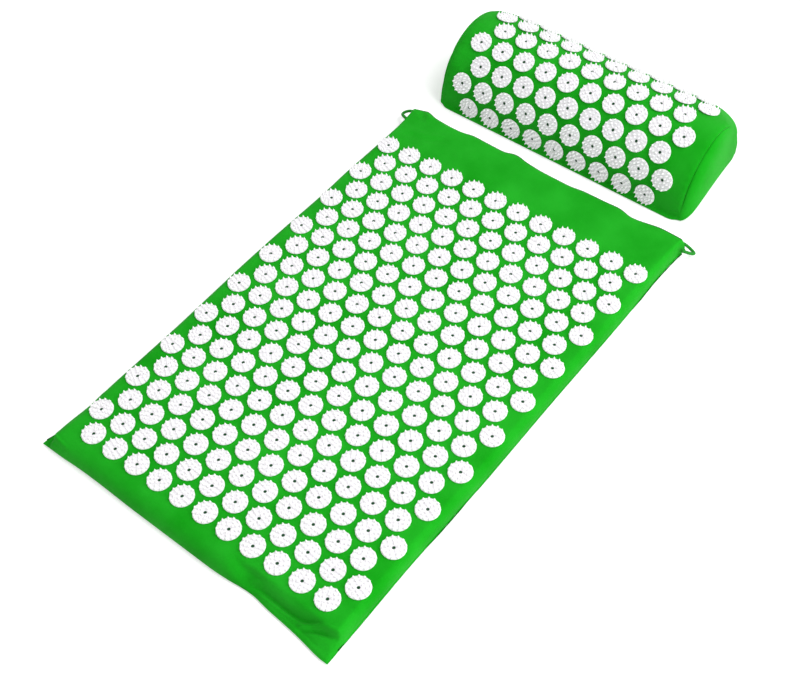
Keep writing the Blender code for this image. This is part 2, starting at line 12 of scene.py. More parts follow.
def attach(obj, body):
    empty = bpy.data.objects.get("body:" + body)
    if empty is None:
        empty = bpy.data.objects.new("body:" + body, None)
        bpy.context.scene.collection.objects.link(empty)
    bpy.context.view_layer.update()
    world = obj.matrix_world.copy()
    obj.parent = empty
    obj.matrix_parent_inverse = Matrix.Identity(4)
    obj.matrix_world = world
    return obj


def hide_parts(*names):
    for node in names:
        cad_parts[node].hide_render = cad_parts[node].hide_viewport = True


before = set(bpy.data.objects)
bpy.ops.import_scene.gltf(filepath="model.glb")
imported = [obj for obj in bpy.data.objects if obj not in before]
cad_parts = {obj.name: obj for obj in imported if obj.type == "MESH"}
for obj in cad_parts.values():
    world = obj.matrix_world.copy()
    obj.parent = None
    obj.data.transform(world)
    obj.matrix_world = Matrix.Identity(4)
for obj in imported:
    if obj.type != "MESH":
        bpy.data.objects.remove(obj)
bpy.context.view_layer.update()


# Studio
# A plain white floor, a large soft lamp behind the right side and even light from all round.
# The camera stands beyond the foot end, to the right, and looks down at the mat.

class Link:
    """A node's output. Sums and products of links add their own Math nodes."""

    def __init__(self, tree, socket=None):
        self.tree = tree
        self.socket = socket

    def node(self, kind, settings=None, values=None, output=0):
        """Adds a node: its settings first, then the values or links of its sockets."""
        made = self.tree.nodes.new(kind)
        for name, value in (settings or {}).items():
            setattr(made, name, value)
        for name, value in (values or {}).items():
            if isinstance(value, Link):
                self.tree.links.new(value.socket, made.inputs[name])
            else:
                made.inputs[name].default_value = value
        return Link(self.tree, made.outputs[output])

    def other(self, output):
        """Another output of the same node."""
        return Link(self.tree, self.socket.node.outputs[output])

    def math(self, operation, first, second=0.0):
        return self.node("ShaderNodeMath", {"operation": operation}, {0: first, 1: second})

    def __add__(self, other):
        return self.math("ADD", self, other)

    def __sub__(self, other):
        return self.math("SUBTRACT", self, other)

    def __rsub__(self, other):
        return self.math("SUBTRACT", other, self)

    def __mul__(self, other):
        return self.math("MULTIPLY", self, other)

    __radd__ = __add__
    __rmul__ = __mul__

    def between(self, low, high):
        """The link's 0 to 1 spread from low to high, kept inside them."""
        return self.node("ShaderNodeMapRange", {}, {"Value": self, "To Min": low, "To Max": high})

    def mix(self, first, second):
        """A colour from first to second as the link goes from 0 to 1."""
        return self.node("ShaderNodeMix", {"data_type": "RGBA"}, {0: self, 6: first, 7: second}, output=2)


def new_finish(name, **constants):
    """A material, its shader node with its constant sockets set, and a link to build patterns on."""
    made = bpy.data.materials.new(name)
    made.use_nodes = True
    shader = made.node_tree.nodes["Principled BSDF"]
    for socket, value in constants.items():
        shader.inputs[socket.replace("_", " ")].default_value = value
    return made, shader, Link(made.node_tree)


def feed(shader, link, socket):
    link.tree.links.new(link.socket, shader.inputs[socket])


def bump(height, strength, distance):
    return height.node("ShaderNodeBump", {}, {"Strength": strength, "Distance": distance, "Height": height})


def placed(name, data):
    """An object in the scene for a mesh, a lamp or a camera."""
    made = bpy.data.objects.new(name, data)
    scene.collection.objects.link(made)
    return made


MM = 0.001
FLOOR_HALF = 3.0
FLOOR_DROP = -0.3 * MM            # just under the flat undersides
FLOOR_COLOUR = (0.80, 0.80, 0.80, 1.0)
FLOOR_LIFT = 0.40                 # what the floor adds to the background, not to the object
LAMP_PLACE = Vector((1.6, 1.1, 2.8))
LAMP_SIZE = 1.8
LAMP_WATTS = 62.0
FILL_PLACE = Vector((2.6, -0.2, 0.9))     # low on the right, it lights the pillow's end
FILL_SIZE = 1.2
FILL_WATTS = 31.0
FRONT_PLACE = Vector((-0.2, -2.2, 1.3))   # faint, beyond the foot
FRONT_WATTS = 6.0
ROOM_LIGHT = 0.64
ROOM_SLOPES = (0.16, 0.38)        # brighter on the right, and behind the head end
CAMERA_PLACE = Vector((0.687064, -0.728877, 1.287125))
CAMERA_TURN = (38.0442, 2.8129, 38.3103)      # degrees: looking down, leaning, and round from the foot
CAMERA_LENS = 63.81

scene = bpy.context.scene
scene.view_settings.view_transform = "Standard"

camera_data = bpy.data.cameras.new("camera")
camera_data.lens = CAMERA_LENS
camera = placed("camera", camera_data)
turned = Euler([math.radians(angle) for angle in CAMERA_TURN])
camera.matrix_world = Matrix.LocRotScale(CAMERA_PLACE, turned, None)
scene.camera = camera

for name, place, size, watts in (("window_lamp", LAMP_PLACE, LAMP_SIZE, LAMP_WATTS),
                                 ("side_lamp", FILL_PLACE, FILL_SIZE, FILL_WATTS),
                                 ("front_lamp", FRONT_PLACE, FILL_SIZE, FRONT_WATTS)):
    lamp_data = bpy.data.lights.new(name, "AREA")
    lamp_data.size = size
    lamp_data.energy = watts
    lamp = placed(name, lamp_data)
    lamp.matrix_world = Matrix.Translation(place) @ place.to_track_quat("Z", "Y").to_matrix().to_4x4()

world = bpy.data.worlds.new("room")
scene.world = world
world.use_nodes = True
sky = world.node_tree.nodes["Background"]
look = Link(world.node_tree)
seen = look.node("ShaderNodeLightPath")
sky.inputs["Strength"].default_value = 1.0
ways = look.node("ShaderNodeSeparateXYZ", {}, {0: look.node("ShaderNodeTexCoord")}, output=1)
level = (ways.other(0) * ROOM_SLOPES[0] + ways.other(1) * ROOM_SLOPES[1] + 1.0) * ROOM_LIGHT
around = look.node("ShaderNodeCombineColor", {}, {0: level, 1: level, 2: level})
feed(sky, seen.mix(around, (1.0, 1.0, 1.0, 1.0)), "Color")

floor_mesh = bpy.data.meshes.new("floor")
corners = [(x * FLOOR_HALF, y * FLOOR_HALF, FLOOR_DROP) for x, y in ((-1, -1), (1, -1), (1, 1), (-1, 1))]
floor_mesh.from_pydata(corners, [], [(0, 1, 2, 3)])
floor = placed("floor", floor_mesh)
floor_finish, floor_shader, look = new_finish("studio floor", Base_Color=FLOOR_COLOUR, Roughness=0.7)
floor_mesh.materials.append(floor_finish)
watched = paths = look.node("ShaderNodeLightPath")
for way in ("Is Glossy Ray", "Is Transmission Ray"):
    watched = watched.math("MAXIMUM", watched, paths.other(way))
plain = look.node("ShaderNodeBsdfDiffuse", {}, {"Color": FLOOR_COLOUR})
glow = look.node("ShaderNodeEmission", {}, {"Strength": FLOOR_LIFT})
lifted = look.node("ShaderNodeAddShader", {}, {0: plain, 1: glow})
shown = look.node("ShaderNodeMixShader", {}, {0: watched, 1: plain, 2: lifted})
look.tree.links.new(shown.socket, look.tree.nodes["Material Output"].inputs["Surface"])


# Mat cover, top
# One panel of green cotton that rolls over the foam's edges down to a seam near the floor. It is
# cut a little larger than the foam at the foot, so a flat flap is left there, widest at the corners.
# Its head wall ends above the zip in a turned hem. It is sewn to the bottom cover all round.

GREEN = (0.012, 0.402, 0.014, 1.0)
DEEP_GREEN = (0.001, 0.300, 0.002, 1.0)
THREAD_PITCH = 0.55 * MM          # of the cotton's weave


def weave(link, pitch):
    """Height of a plain weave from the piece's UV map, 0 between threads to 1 on top of one."""
    plan = link.node("ShaderNodeTexCoord", {}, {}, output=2)
    apart = link.node("ShaderNodeSeparateXYZ", {}, {0: plan})
    warp, weft = (link.math("SINE", apart.other(k) * (math.pi / pitch)) for k in (0, 1))
    over = (warp * weft * 2.5 + 0.5).between(0.0, 1.0)
    warp_height, weft_height = link.math("ABSOLUTE", warp), link.math("ABSOLUTE", weft)
    return warp_height * over + weft_height * (1.0 - over)


def mottle(link, size, detail=2.0):
    """Even noise over the piece, 0 to 1, with patches of about the given size."""
    place = link.node("ShaderNodeTexCoord", {}, {}, output=3)
    return link.node("ShaderNodeTexNoise", {}, {"Vector": place, "Scale": 1.0 / size, "Detail": detail})


def cotton(name, colour, shade, pitch):
    """Matt woven cotton: threads, uneven dye and the soft waviness of cloth over foam."""
    made, shader, link = new_finish(name, Roughness=0.85, Sheen_Weight=0.06, Specular_IOR_Level=0.07)
    threads = weave(link, pitch)
    dye = mottle(link, 55 * MM, 3.0)
    fibres = mottle(link, 1.3 * MM, 1.0)
    # Painted shade, small: the low places of the weave between the threads come out a little darker.
    tone = (dye * 2.2 - 0.6 + (fibres - 0.5) * 0.5 + (threads - 0.6) * 0.4).between(0.0, 1.0)
    feed(shader, tone.mix(shade, colour), "Base Color")
    waves = mottle(link, 20 * MM, 2.0)
    made_height = waves * 0.7 + threads * 0.12
    feed(shader, bump(made_height, 0.8, 0.8 * MM), "Normal")
    return made


def smooth_line(table, places, width=9.0):
    """A smooth line through (place, value) pairs in millimetres, read at the given places."""
    place, value = np.array(table, float).T
    fine = np.arange(place[0] - 4 * width, place[-1] + 4 * width, 1.0)
    step = np.arange(-3 * width, 3 * width + 1)
    kernel = np.exp(-0.5 * (step / width) ** 2)
    line = np.convolve(np.interp(fine, place, value), kernel / kernel.sum(), "same")
    return np.interp(places, fine, line)


# Lengths in millimetres. A line is (place along the mat or across it, place of the edge there).
MAT_TOP = 22.4
MAT_HALF = 206.0
SIDE_ROLL = 8.5                   # the foam edge's roll, across
HEAD_ROLL = 6.8
HEAD_WALL = 329.76
HEAD_END = 323.0
FOOT_END = -323.0
FOAM_FOOT = -321.0                # the foam's foot end
LEVEL_FOOT = -307.0               # where the level cloth starts
FOOT_TOP = -303.0                 # where the cloth over the foot edge is level again
HEAD_SIDE_SHARE = 0.6             # of the side roll, left at the head corners
HEAD_SIDE_FADE = (215.0, 90.0)    # where that starts, and over what length
SEAM_RISE = 4.4
FOOT_SEAM_DROP = 2.0
FOOT_SLOPE = ((0, 0), (8, 0.10), (30, 0.22), (55, 0.34), (72, 0.46), (80, 0.72), (86, 0.89), (93, 0.98),
              (100, 1.0))
LEFT_ROLL_LINE = ((-323, -208), (-300, -206), (-262, -203), (-240, -205), (-120, -204), (-6, -206),
                  (53, -205.5), (137, -203), (192, -204), (300, -200.5), (329, -205))
LEFT_FLAP = ((-323, 11), (-312, 8.5), (-298, 6), (-256, 4), (-236, 1.5), (-215, 1.2), (329, 1.2))
RIGHT_ROLL_LINE = ((-335, 203.5), (-290, 203.5), (-210, 202), (-120, 202.5), (-75, 203.5), (50, 202),
                   (160, 202), (215, 201.5), (270, 199.5), (322, 201), (329, 204))
RIGHT_FLAP = ((-335, 1.4), (329, 1.2))
FOOT_SEAM = ((-219, -323), (-199, -324), (-165, -322.5), (-124, -323), (-85, -324.5), (50, -326.5),
             (75, -325), (98, -321.5), (120, -326), (147, -328), (176, -331), (204, -336))
HEAD_WAVE = ((-206, -2), (-203, -3), (-195, 2), (-186, 3.5), (-180, -1), (-150, -3), (-126, -2.5),
             (-114, 1), (-89, 0), (-57, -0.5), (-49, 4.5), (-41, 5), (-30, 1), (-4, -1.5), (45, -2),
             (60, 0.5), (98, 1), (118, 2.5), (133, -3), (154, -0.5), (175, 3.5), (206, 2.5))
ZIP_HALF = 165.0                  # half the zip slot's length
SLOT_TOP = 12.4
SLOT_BASE = 4.0
SLOT_END = 5.2                    # where both covers meet beside the slot
HEM = 2.6
HEM_GAP = 0.4                     # between a hem and the slot's edge
CLOTH_PRESSURE = 4.0


def seam_height(plan_y):
    """The seam lies lower where the flap at the foot lies flat on the floor."""
    return SEAM_RISE - FOOT_SEAM_DROP * np.clip((FOAM_FOOT + 12.0 - plan_y) / 14.0, 0, 1)


def slope_right(plan_x):
    """Goes from 0 to 1 where the foot edge's round roll turns into a slack slope."""
    share = np.clip((plan_x - 58.0) / 34.0, 0, 1)
    return share * share * (3 - 2 * share)


def laid_out(columns, rows, row_height):
    """Grid points of a panel from its columns and rows.

    A column is (share from the left to the right edge, flap share, inward from the roll's foot,
    height share). A row is (share from foot to head, share from the foot seam to the level cloth,
    inward from the head wall, wave share)."""
    share_x, flap_x, in_x, side_rise = columns.T
    share_y, foot_step, in_head, wave = rows.T
    rough_x = MAT_HALF * (2 * share_x - 1)
    rough_y = np.where(share_y < 0.5, FOOT_END + (FOOT_TOP - FOOT_END) * foot_step, HEAD_WALL - in_head)
    inner = (share_y > 0) & (share_y < 1)
    rough_y[inner] = LEVEL_FOOT + share_y[inner] * (HEAD_END - LEVEL_FOOT)
    left = smooth_line(LEFT_ROLL_LINE, rough_y)[:, None]
    left_flap = smooth_line(LEFT_FLAP, rough_y, 5.0)[:, None]
    right = smooth_line(RIGHT_ROLL_LINE, rough_y)[:, None]
    right_flap = smooth_line(RIGHT_FLAP, rough_y)[:, None]
    eased = np.clip((rough_y - HEAD_SIDE_FADE[0]) / HEAD_SIDE_FADE[1], 0, 1)
    in_x = in_x * (1 - (1 - HEAD_SIDE_SHARE) * eased)[:, None]
    x = ((1 - share_x) * (left - left_flap * (1 - flap_x) + in_x)
         + share_x * (right + right_flap * (1 - flap_x) - in_x))
    foot = smooth_line(FOOT_SEAM, rough_x)[None, :]
    head = HEAD_WALL + smooth_line(HEAD_WAVE, rough_x, 4.0)[None, :] * wave[:, None]
    foot_line = foot + (FOOT_TOP - foot) * foot_step[:, None]
    y = (1 - share_y[:, None]) * foot_line + share_y[:, None] * (head - in_head[:, None])
    seam = seam_height(y)
    return np.stack([x, y, seam + (row_height(seam, rough_x) - seam) * side_rise], axis=-1)


def panel_mesh(name, grid, finish):
    """A smooth grid mesh, with a UV map that measures the cloth along its rows and columns."""
    rows, columns = grid.shape[:2]
    across = np.linalg.norm(np.diff(grid[rows // 2], axis=0), axis=1)
    along = np.linalg.norm(np.diff(grid[:, columns // 2], axis=0), axis=1)
    across, along = np.concatenate([[0], across.cumsum()]), np.concatenate([[0], along.cumsum()])
    index = np.arange(rows * columns).reshape(rows, columns)
    quads = np.stack([index[:-1, :-1], index[:-1, 1:], index[1:, 1:], index[1:, :-1]], axis=-1).reshape(-1, 4)
    mesh = bpy.data.meshes.new(name)
    mesh.from_pydata((grid.reshape(-1, 3) * MM).tolist(), [], quads.tolist())
    flat = np.stack(np.meshgrid(across, along), axis=-1).reshape(-1, 2) * MM
    layer = mesh.uv_layers.new(name="cloth")
    layer.data.foreach_set("uv", flat[quads.reshape(-1)].astype(np.float32).ravel())
    mesh.materials.append(finish)
    mesh.shade_smooth()
    return placed(name, mesh)


def points_of(piece):
    places = np.zeros(len(piece.data.vertices) * 3)
    piece.data.vertices.foreach_get("co", places)
    return places.reshape(-1, 3) / MM


def set_points(piece, places):
    piece.data.vertices.foreach_set("co", (places * MM).ravel())
    piece.data.update()


def worked_in(piece):
    """Turns the piece's modifiers into plain mesh."""
    bpy.context.view_layer.update()
    graph = bpy.context.evaluated_depsgraph_get()
    old = piece.data
    mesh = bpy.data.meshes.new_from_object(piece.evaluated_get(graph), preserve_all_data_layers=True,
                                           depsgraph=graph)
    piece.modifiers.clear()
    piece.data = mesh
    mesh.name = piece.name
    bpy.data.meshes.remove(old)


def finer(piece):
    step = piece.modifiers.new("finer", "SUBSURF")
    step.levels = step.render_levels = 1
    step.boundary_smooth = "PRESERVE_CORNERS"
    worked_in(piece)


def swell(piece, held, pressure, cap):
    """Lets cloth simulation puff the piece where it isn't held; no point moves past the cap."""
    start = points_of(piece)
    group = piece.vertex_groups.new(name="held")
    for share in np.unique(held.round(2)):
        group.add(np.nonzero(held.round(2) == share)[0].tolist(), float(share), "REPLACE")
    step = piece.modifiers.new("cloth", "CLOTH")
    cloth = step.settings
    cloth.quality = 6
    cloth.mass = 0.2
    cloth.tension_stiffness = cloth.compression_stiffness = 12
    cloth.shear_stiffness = 4
    cloth.bending_stiffness = 0.4
    cloth.use_pressure = True
    cloth.uniform_pressure_force = pressure
    cloth.effector_weights.gravity = 0
    cloth.vertex_group_mass = "held"
    step.collision_settings.use_collision = False
    step.point_cache.frame_start, step.point_cache.frame_end = 1, 20
    for shown_frame in range(1, 21):
        scene.frame_set(shown_frame)
    worked_in(piece)
    scene.frame_set(1)
    moved = points_of(piece) - start
    far = np.linalg.norm(moved, axis=1, keepdims=True)
    far[far < 1e-9] = 1e-9
    set_points(piece, start + moved * (cap * np.tanh(far / cap) / far))


def crease(piece, path, depth, width, ridge=0.5):
    """Presses a valley along a path into a level piece, with a ridge on its left; it fades at both ends."""
    places = points_of(piece)
    best = np.full(len(places), 1e9)
    side, share = np.zeros(len(places)), np.zeros(len(places))
    lengths = [math.dist(a, b) for a, b in zip(path, path[1:])]
    gone = 0.0
    for (ax, ay), (bx, by), length in zip(path, path[1:], lengths):
        run = np.array((bx - ax, by - ay)) / length
        offset = places[:, :2] - (ax, ay)
        along = np.clip(offset @ run, 0, length)
        distance = np.linalg.norm(offset - along[:, None] * run, axis=1)
        near = distance < best
        best[near] = distance[near]
        side[near] = np.sign(run[0] * offset[near, 1] - run[1] * offset[near, 0])
        share[near] = (gone + along[near]) / sum(lengths)
        gone += length
    fade = np.sin(np.pi * np.clip(share, 0, 1)) ** 0.6
    signed = best * side
    valley = np.exp(-(signed / width) ** 2)
    bank = np.exp(-((signed - 2.0 * width) / width) ** 2)
    places[:, 2] += depth * fade * (ridge * bank - valley)
    set_points(piece, places)


cloth_green = cotton("green cotton", GREEN, DEEP_GREEN, THREAD_PITCH)

lip = np.linspace(0, 1, 5)
turns = np.radians(np.arange(9, 91, 9))
lip_rise = 0.07 * np.sin(lip * np.pi / 2)
edge_flap = np.concatenate([lip, np.ones(len(turns))])
edge_in = np.concatenate([0 * lip, 1 - np.cos(turns)])
edge_rise = np.concatenate([lip_rise, 0.07 + 0.93 * np.sin(turns)])
inner_x = np.linspace(0, 1, 60)[1:-1]
inner_y = np.concatenate([np.linspace(0, 0.045, 9)[1:-1], np.linspace(0.045, 1, 90)[:-1]])


def table(*blocks):
    """Rows of numbers. Each block gives a row's values as arrays, or as one number for all its rows."""
    return np.concatenate([np.stack(np.broadcast_arrays(*block), axis=1) for block in blocks])


def column_table(flap, inward, rise, inner):
    """The panel's columns: its left edge, the middle and its right edge."""
    return table((0.0, flap, inward, rise), (inner, 1.0, inward[-1], 1.0),
                 (1.0, flap[::-1], inward[::-1], rise[::-1]))


top_columns = column_table(edge_flap, SIDE_ROLL * edge_in, edge_rise, inner_x)
head_turns = np.radians(np.arange(0, 91, 15))
wall_steps = np.linspace(0, 1, 6)[1:]
hem_steps = np.array([1.0, HEM])
foot_steps = np.concatenate([[0, 0.012, 0.03, 0.06, 0.10, 0.15, 0.21], np.arange(0.28, 0.93, 0.08)])
top_rows = table((0.0, foot_steps, 0.0, 0.0),
                 (inner_y, 1.0, HEAD_ROLL, 1.0),
                 (1.0, 0.0, HEAD_ROLL * (1 - np.sin(head_turns)), 1.0),
                 (1.0, 0.0, 0.0, (1 - wall_steps) ** 3),
                 (1.0, 0.0, hem_steps, 0.0))


def zip_span(plan_x, inside, outside):
    """Goes from one height to another at the zip's ends."""
    open_share = np.clip((ZIP_HALF + 3.0 - np.abs(plan_x)) / 6.0, 0, 1)
    open_share = open_share * open_share * (3 - 2 * open_share)
    return outside + (inside - outside) * open_share


def top_row_height(seam, rough_x):
    height = np.full(seam.shape, MAT_TOP)
    rolled = ((1 - (1 - foot_steps) ** 2.8) ** 0.55)[:, None]
    sloped = np.interp(foot_steps * 100, *np.array(FOOT_SLOPE).T)[:, None]
    rise = rolled + (sloped - rolled) * slope_right(rough_x)[None, :]
    row = len(foot_steps)
    height[:row] = seam[:row] + (MAT_TOP - seam[:row]) * rise
    row += len(inner_y)
    for turn in head_turns:
        height[row] = MAT_TOP - HEAD_ROLL * (1 - math.cos(turn))
        row += 1
    edge = zip_span(rough_x, SLOT_TOP, SLOT_END)
    for step in wall_steps:
        height[row] = (MAT_TOP - HEAD_ROLL) * (1 - step) + edge * step
        row += 1
    height[row:] = edge + HEM_GAP
    return height


mat_top = panel_mesh("mat_cover_top", laid_out(top_columns, top_rows, top_row_height), cloth_green)
places = points_of(mat_top)
free = np.clip((np.abs(places[:, 0]) - 186) / 6, 0, 1) + np.clip((-300 - places[:, 1]) / 6, 0, 1)
free[(places[:, 2] < SEAM_RISE + 1.0) | (places[:, 1] > 322)] = 0
swell(mat_top, 1 - np.clip(free, 0, 1), CLOTH_PRESSURE, 1.2)
finer(mat_top)

# Folds pressed in along given paths: the slack cloth at the foot and at the head's left corner.
crease(mat_top, ((84, -319), (102, -315.5), (120, -316), (141, -317), (160, -316), (176, -310)), 5.4, 2.7, 0.5)
crease(mat_top, ((158, -327), (171, -319), (184, -314.5), (200, -311)), 4.4, 2.1, 1.0)
crease(mat_top, ((-196, 281), (-183, 282), (-163, 283), (-147, 288), (-130, 300)), 0.7, 4.0, 1.0)
crease(mat_top, ((-206, -236), (-208, -259), (-208.5, -282), (-209.2, -301), (-208.4, -312), (-204, -318),
                 (-194, -320), (-176, -321)), 2.4, 1.9, 1.1)
crease(mat_top, ((-190, 331), (-184, 322), (-176, 312)), 1.6, 3.0, 0.6)

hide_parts("mat_top_cover")
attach(mat_top, "mat")


# Mat cover, bottom
# A plain cotton panel, flat on the floor, turned up a few millimetres to the seam all round. At
# the head it comes up to the lower side of the zip, with a turned hem.

# The turned-up edge in five steps, inward and share of its height: first at the sides and the foot,
# then at the head.
base_turn = np.array([0.0, 0.7, 1.8, 3.2, 5.0])
base_rise = np.array([1.0, 0.5, 0.16, 0.03, 0.0])
head_turn = np.array([3.0, 1.2, 0.3, 0.0, 0.0])
head_rise = (0.0, 0.06, 0.25, 0.6, 1.0)
base_columns = column_table(1 - base_rise, base_turn, 1 - base_rise, np.linspace(0, 1, 32)[1:-1])
base_inner = np.linspace(0, 1, 50)[1:-1]
base_rows = table((0.0, base_turn / (FOOT_TOP - FOOT_END), 0.0, 0.0),
                  (base_inner, 1.0, head_turn[0], 0.0),
                  (1.0, 0.0, head_turn, 0.0),
                  (1.0, 0.0, hem_steps, 0.0))


def base_row_height(seam, rough_x):
    height = np.zeros(seam.shape)
    height[:len(base_turn)] = seam[:len(base_turn)] * base_rise[:, None]
    row = len(base_turn) + len(base_inner)
    edge = zip_span(rough_x, SLOT_BASE, SLOT_END)
    for share in head_rise:
        height[row] = edge * share
        row += 1
    height[row:] = edge - HEM_GAP
    return height


mat_base = panel_mesh("mat_cover_base", laid_out(base_columns, base_rows, base_row_height), cloth_green)
mat_base.data.flip_normals()
finer(mat_base)
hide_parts("mat_bottom_cover")
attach(mat_base, "mat")


# Mat foam
# A slab of pale open foam, 20 mm thick, with its edges eased by the tight cover.

def foam_finish():
    made, shader, link = new_finish("pale foam", Roughness=0.95, Specular_IOR_Level=0.2)
    cells = link.node("ShaderNodeTexVoronoi", {}, {"Vector": link.node("ShaderNodeTexCoord", {}, {}, output=3),
                                                   "Scale": 1 / (1.1 * MM)})
    # Painted shade: the pit of each cell, low in the bump, is painted darker.
    feed(shader, cells.between(0.0, 1.0).mix((0.62, 0.59, 0.50, 1.0), (0.86, 0.84, 0.78, 1.0)), "Base Color")
    feed(shader, bump(cells, 0.6, 0.4 * MM), "Normal")
    return made


def made_of(name, bm, finish=None):
    """A smooth piece from a bmesh."""
    mesh = bpy.data.meshes.new(name)
    bm.to_mesh(mesh)
    bm.free()
    if finish:
        mesh.materials.append(finish)
    mesh.shade_smooth()
    return placed(name, mesh)


def soft_block(name, low, high, ease, finish):
    """A block with rounded edges."""
    bm = bmesh.new()
    low, high = Vector(low) * MM, Vector(high) * MM
    fit = Matrix.LocRotScale((low + high) / 2, None, high - low)
    bmesh.ops.create_cube(bm, size=1, matrix=fit)
    bmesh.ops.bevel(bm, geom=bm.edges, offset=ease * MM, segments=5, profile=0.5, affect="EDGES")
    return made_of(name, bm, finish)


foam = foam_finish()
mat_foam = soft_block("mat_foam", (-198.0, -300.0, 1.0), (194.0, 322.0, 19.5), 6.0, foam)
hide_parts("mat_foam_core")
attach(mat_foam, "mat")


# Corner loops
# Short loops of dark green twisted cord, one at each head corner, their ends caught in the seams.
# The left one hangs from the side edge and the right one goes round its corner.

CORD_RADIUS = 2.0
CORD_STRANDS = 3
CORD_TWIST = 7.0                  # length of one turn of a strand
LOOP_RADIUS = 7.5
LOOP_HEIGHT = 12.0
LOOP_TUCK = 2.5                   # length of each end inside the cover


def dyed(name, size, detail, shade, colour, **constants):
    """A finish whose colour wanders between two shades, in patches of about the given size."""
    made, shader, link = new_finish(name, **constants)
    cloud = mottle(link, size, detail)
    feed(shader, cloud.mix((*shade, 1.0), (*colour, 1.0)), "Base Color")
    return made, shader, cloud


def band(bm, rings):
    """Faces between rings of points, each ring closed in itself."""
    for first, second in zip(rings, rings[1:]):
        for i in range(len(first)):
            j = (i + 1) % len(first)
            bm.faces.new((first[i], first[j], second[j], second[i]))


def capped(bm, rings):
    """A closed skin over the rings, its faces outward."""
    band(bm, rings)
    bm.faces.new(rings[0])
    bm.faces.new(rings[-1])
    bmesh.ops.recalc_face_normals(bm, faces=bm.faces)


def run_at(path, k):
    """The path's direction at its point k."""
    return (path[min(k + 1, len(path) - 1)] - path[max(k - 1, 0)]).normalized()


def twisted_cord(name, path, radius, strands, twist, finish):
    """A cord of twisted strands along a path of points, closed at both ends."""
    sides = 8 * strands
    path = [Vector(point) for point in path]
    bm = bmesh.new()
    rings = []
    gone = 0.0
    for k, point in enumerate(path):
        run = run_at(path, k)
        gone += (point - path[k - 1]).length if k else 0.0
        across = run.cross(Vector((0, 0, 1))).normalized()
        up = across.cross(run)
        ring = []
        for i in range(sides):
            angle = 2 * math.pi * i / sides
            lobe = abs(math.cos(strands / 2 * (angle - 2 * math.pi * gone / twist)))
            size = radius * (0.72 + 0.28 * math.sqrt(lobe))
            ring.append(bm.verts.new((point + size * (across * math.cos(angle) + up * math.sin(angle))) * MM))
        rings.append(ring)
    capped(bm, rings)
    return made_of(name, bm, finish)


dark_cord, shader, fibres = dyed("dark green cord", 0.7 * MM, 2.0, (0.006, 0.17, 0.010), (0.020, 0.34, 0.024),
                                 Roughness=0.8, Sheen_Weight=0.1, Specular_IOR_Level=0.25)
feed(shader, bump(fibres, 0.5, 0.15 * MM), "Normal")
# Of each loop: its side, how far back from the head it is sewn, its sweep, how much longer than wide it
# is, and how far it droops.
for side, back, sweep, reach, droop, word in ((-1, 10.5, math.pi, 1.3, 3.0, "left"),
                                              (1, 0.0, 1.5 * math.pi, 1.4, 6.0, "right")):
    path = []
    for share in np.linspace(0, 1, 72):
        angle = sweep * share - math.pi / 2
        flat = LOOP_RADIUS * (1 - 0.3 * math.sin(math.pi * share))
        path.append(Vector((side * (MAT_HALF + LOOP_RADIUS * reach * math.cos(angle)),
                            HEAD_WALL - back + flat * math.sin(angle),
                            LOOP_HEIGHT - droop * math.sin(math.pi * share) ** 2)))
    tucks = [end + (end - near).normalized() * LOOP_TUCK for end, near in (path[:2], path[:-3:-1])]
    path = [tucks[0]] + path + [tucks[1]]
    loop = twisted_cord("corner_cord_" + word, path, CORD_RADIUS, CORD_STRANDS, CORD_TWIST, dark_cord)
    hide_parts("corner_loop_" + word)
    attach(loop, "mat")


# Edge seams
# The covers are sewn together in a narrow overlocked edge of thread, far darker than the cloth: painted shade.
# It shows as a thin dark line low along both sides, and a second one runs along the top of the head wall.

SEAM_RADIUS = 0.7
SEAM_TWIST = 5.0
SIDE_SEAM_HEIGHT = 3.9
HEAD_SEAM_TURN = math.radians(30)


def bvh_of(piece):
    mesh = piece.data
    return BVHTree.FromPolygons([v.co.copy() for v in mesh.vertices], [list(p.vertices) for p in mesh.polygons])


def edge_thread(name, path):
    made = twisted_cord(name, path, SEAM_RADIUS, 2, SEAM_TWIST, seam_shade_thread)
    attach(made, "mat")


# Painted shade: the near-black thread draws the shade along the seam, not the thread's own colour.
seam_shade_thread = dyed("dark green thread", 1.2 * MM, 2.0, (0.001, 0.06, 0.003), (0.003, 0.15, 0.006),
                   Roughness=0.85, Specular_IOR_Level=0.1)[0]
side_y = np.linspace(-318, 324, 220)
for line, flap, side, word in ((LEFT_ROLL_LINE, LEFT_FLAP, -1, "left"),
                               (RIGHT_ROLL_LINE, RIGHT_FLAP, 1, "right")):
    # Inside the seam but for two stretches where it comes out.
    shown = np.clip((side_y - 215) / 20, 0, 1) + np.exp(-((side_y + 138) / 30) ** 4)
    side_x = smooth_line(line, side_y) + side * (smooth_line(flap, side_y, 5.0) - 0.4 + 0.9 * shown)
    edge_thread("edge_thread_" + word, [(x, y, SIDE_SEAM_HEIGHT) for x, y in zip(side_x, side_y)])
cover_tree = bvh_of(mat_top)
out = Vector((0.0, math.cos(HEAD_SEAM_TURN), math.sin(HEAD_SEAM_TURN)))
path = []
for x in np.linspace(-198, 199, 160):
    start = Vector((x, HEAD_WALL - HEAD_ROLL, MAT_TOP - HEAD_ROLL)) + out * 30
    path.append(cover_tree.ray_cast(start * MM, -out, 0.04)[0] / MM)
edge_thread("edge_thread_head", path)


# Spiked discs
# Moulded from white plastic: a round plate with a hole in its middle and 27 pointed spikes in three
# rings. Each is welded flat on the cloth, 230 on the mat and 66 on the pillow.

DISC_RADIUS = 13.75
DISC_PLATE = 1.4
DISC_HOLE = 2.0
SPOT_HEIGHT = 0.7
SPIKE_HEIGHT = 4.7
SPIKE_FOOT = 1.8
SPIKE_RINGS = ((13, 12.5), (9, 8.3), (5, 4.6))
RAY_OFFSET = 9.0                  # from a disc's middle, where the cloth under it is felt
DISC_PITCH = 33.5
ROW_PITCH = DISC_PITCH * 0.8456
MAT_ROWS = 20
MAT_FIELD_SHIFT = -18.7           # the field's middle, towards the foot


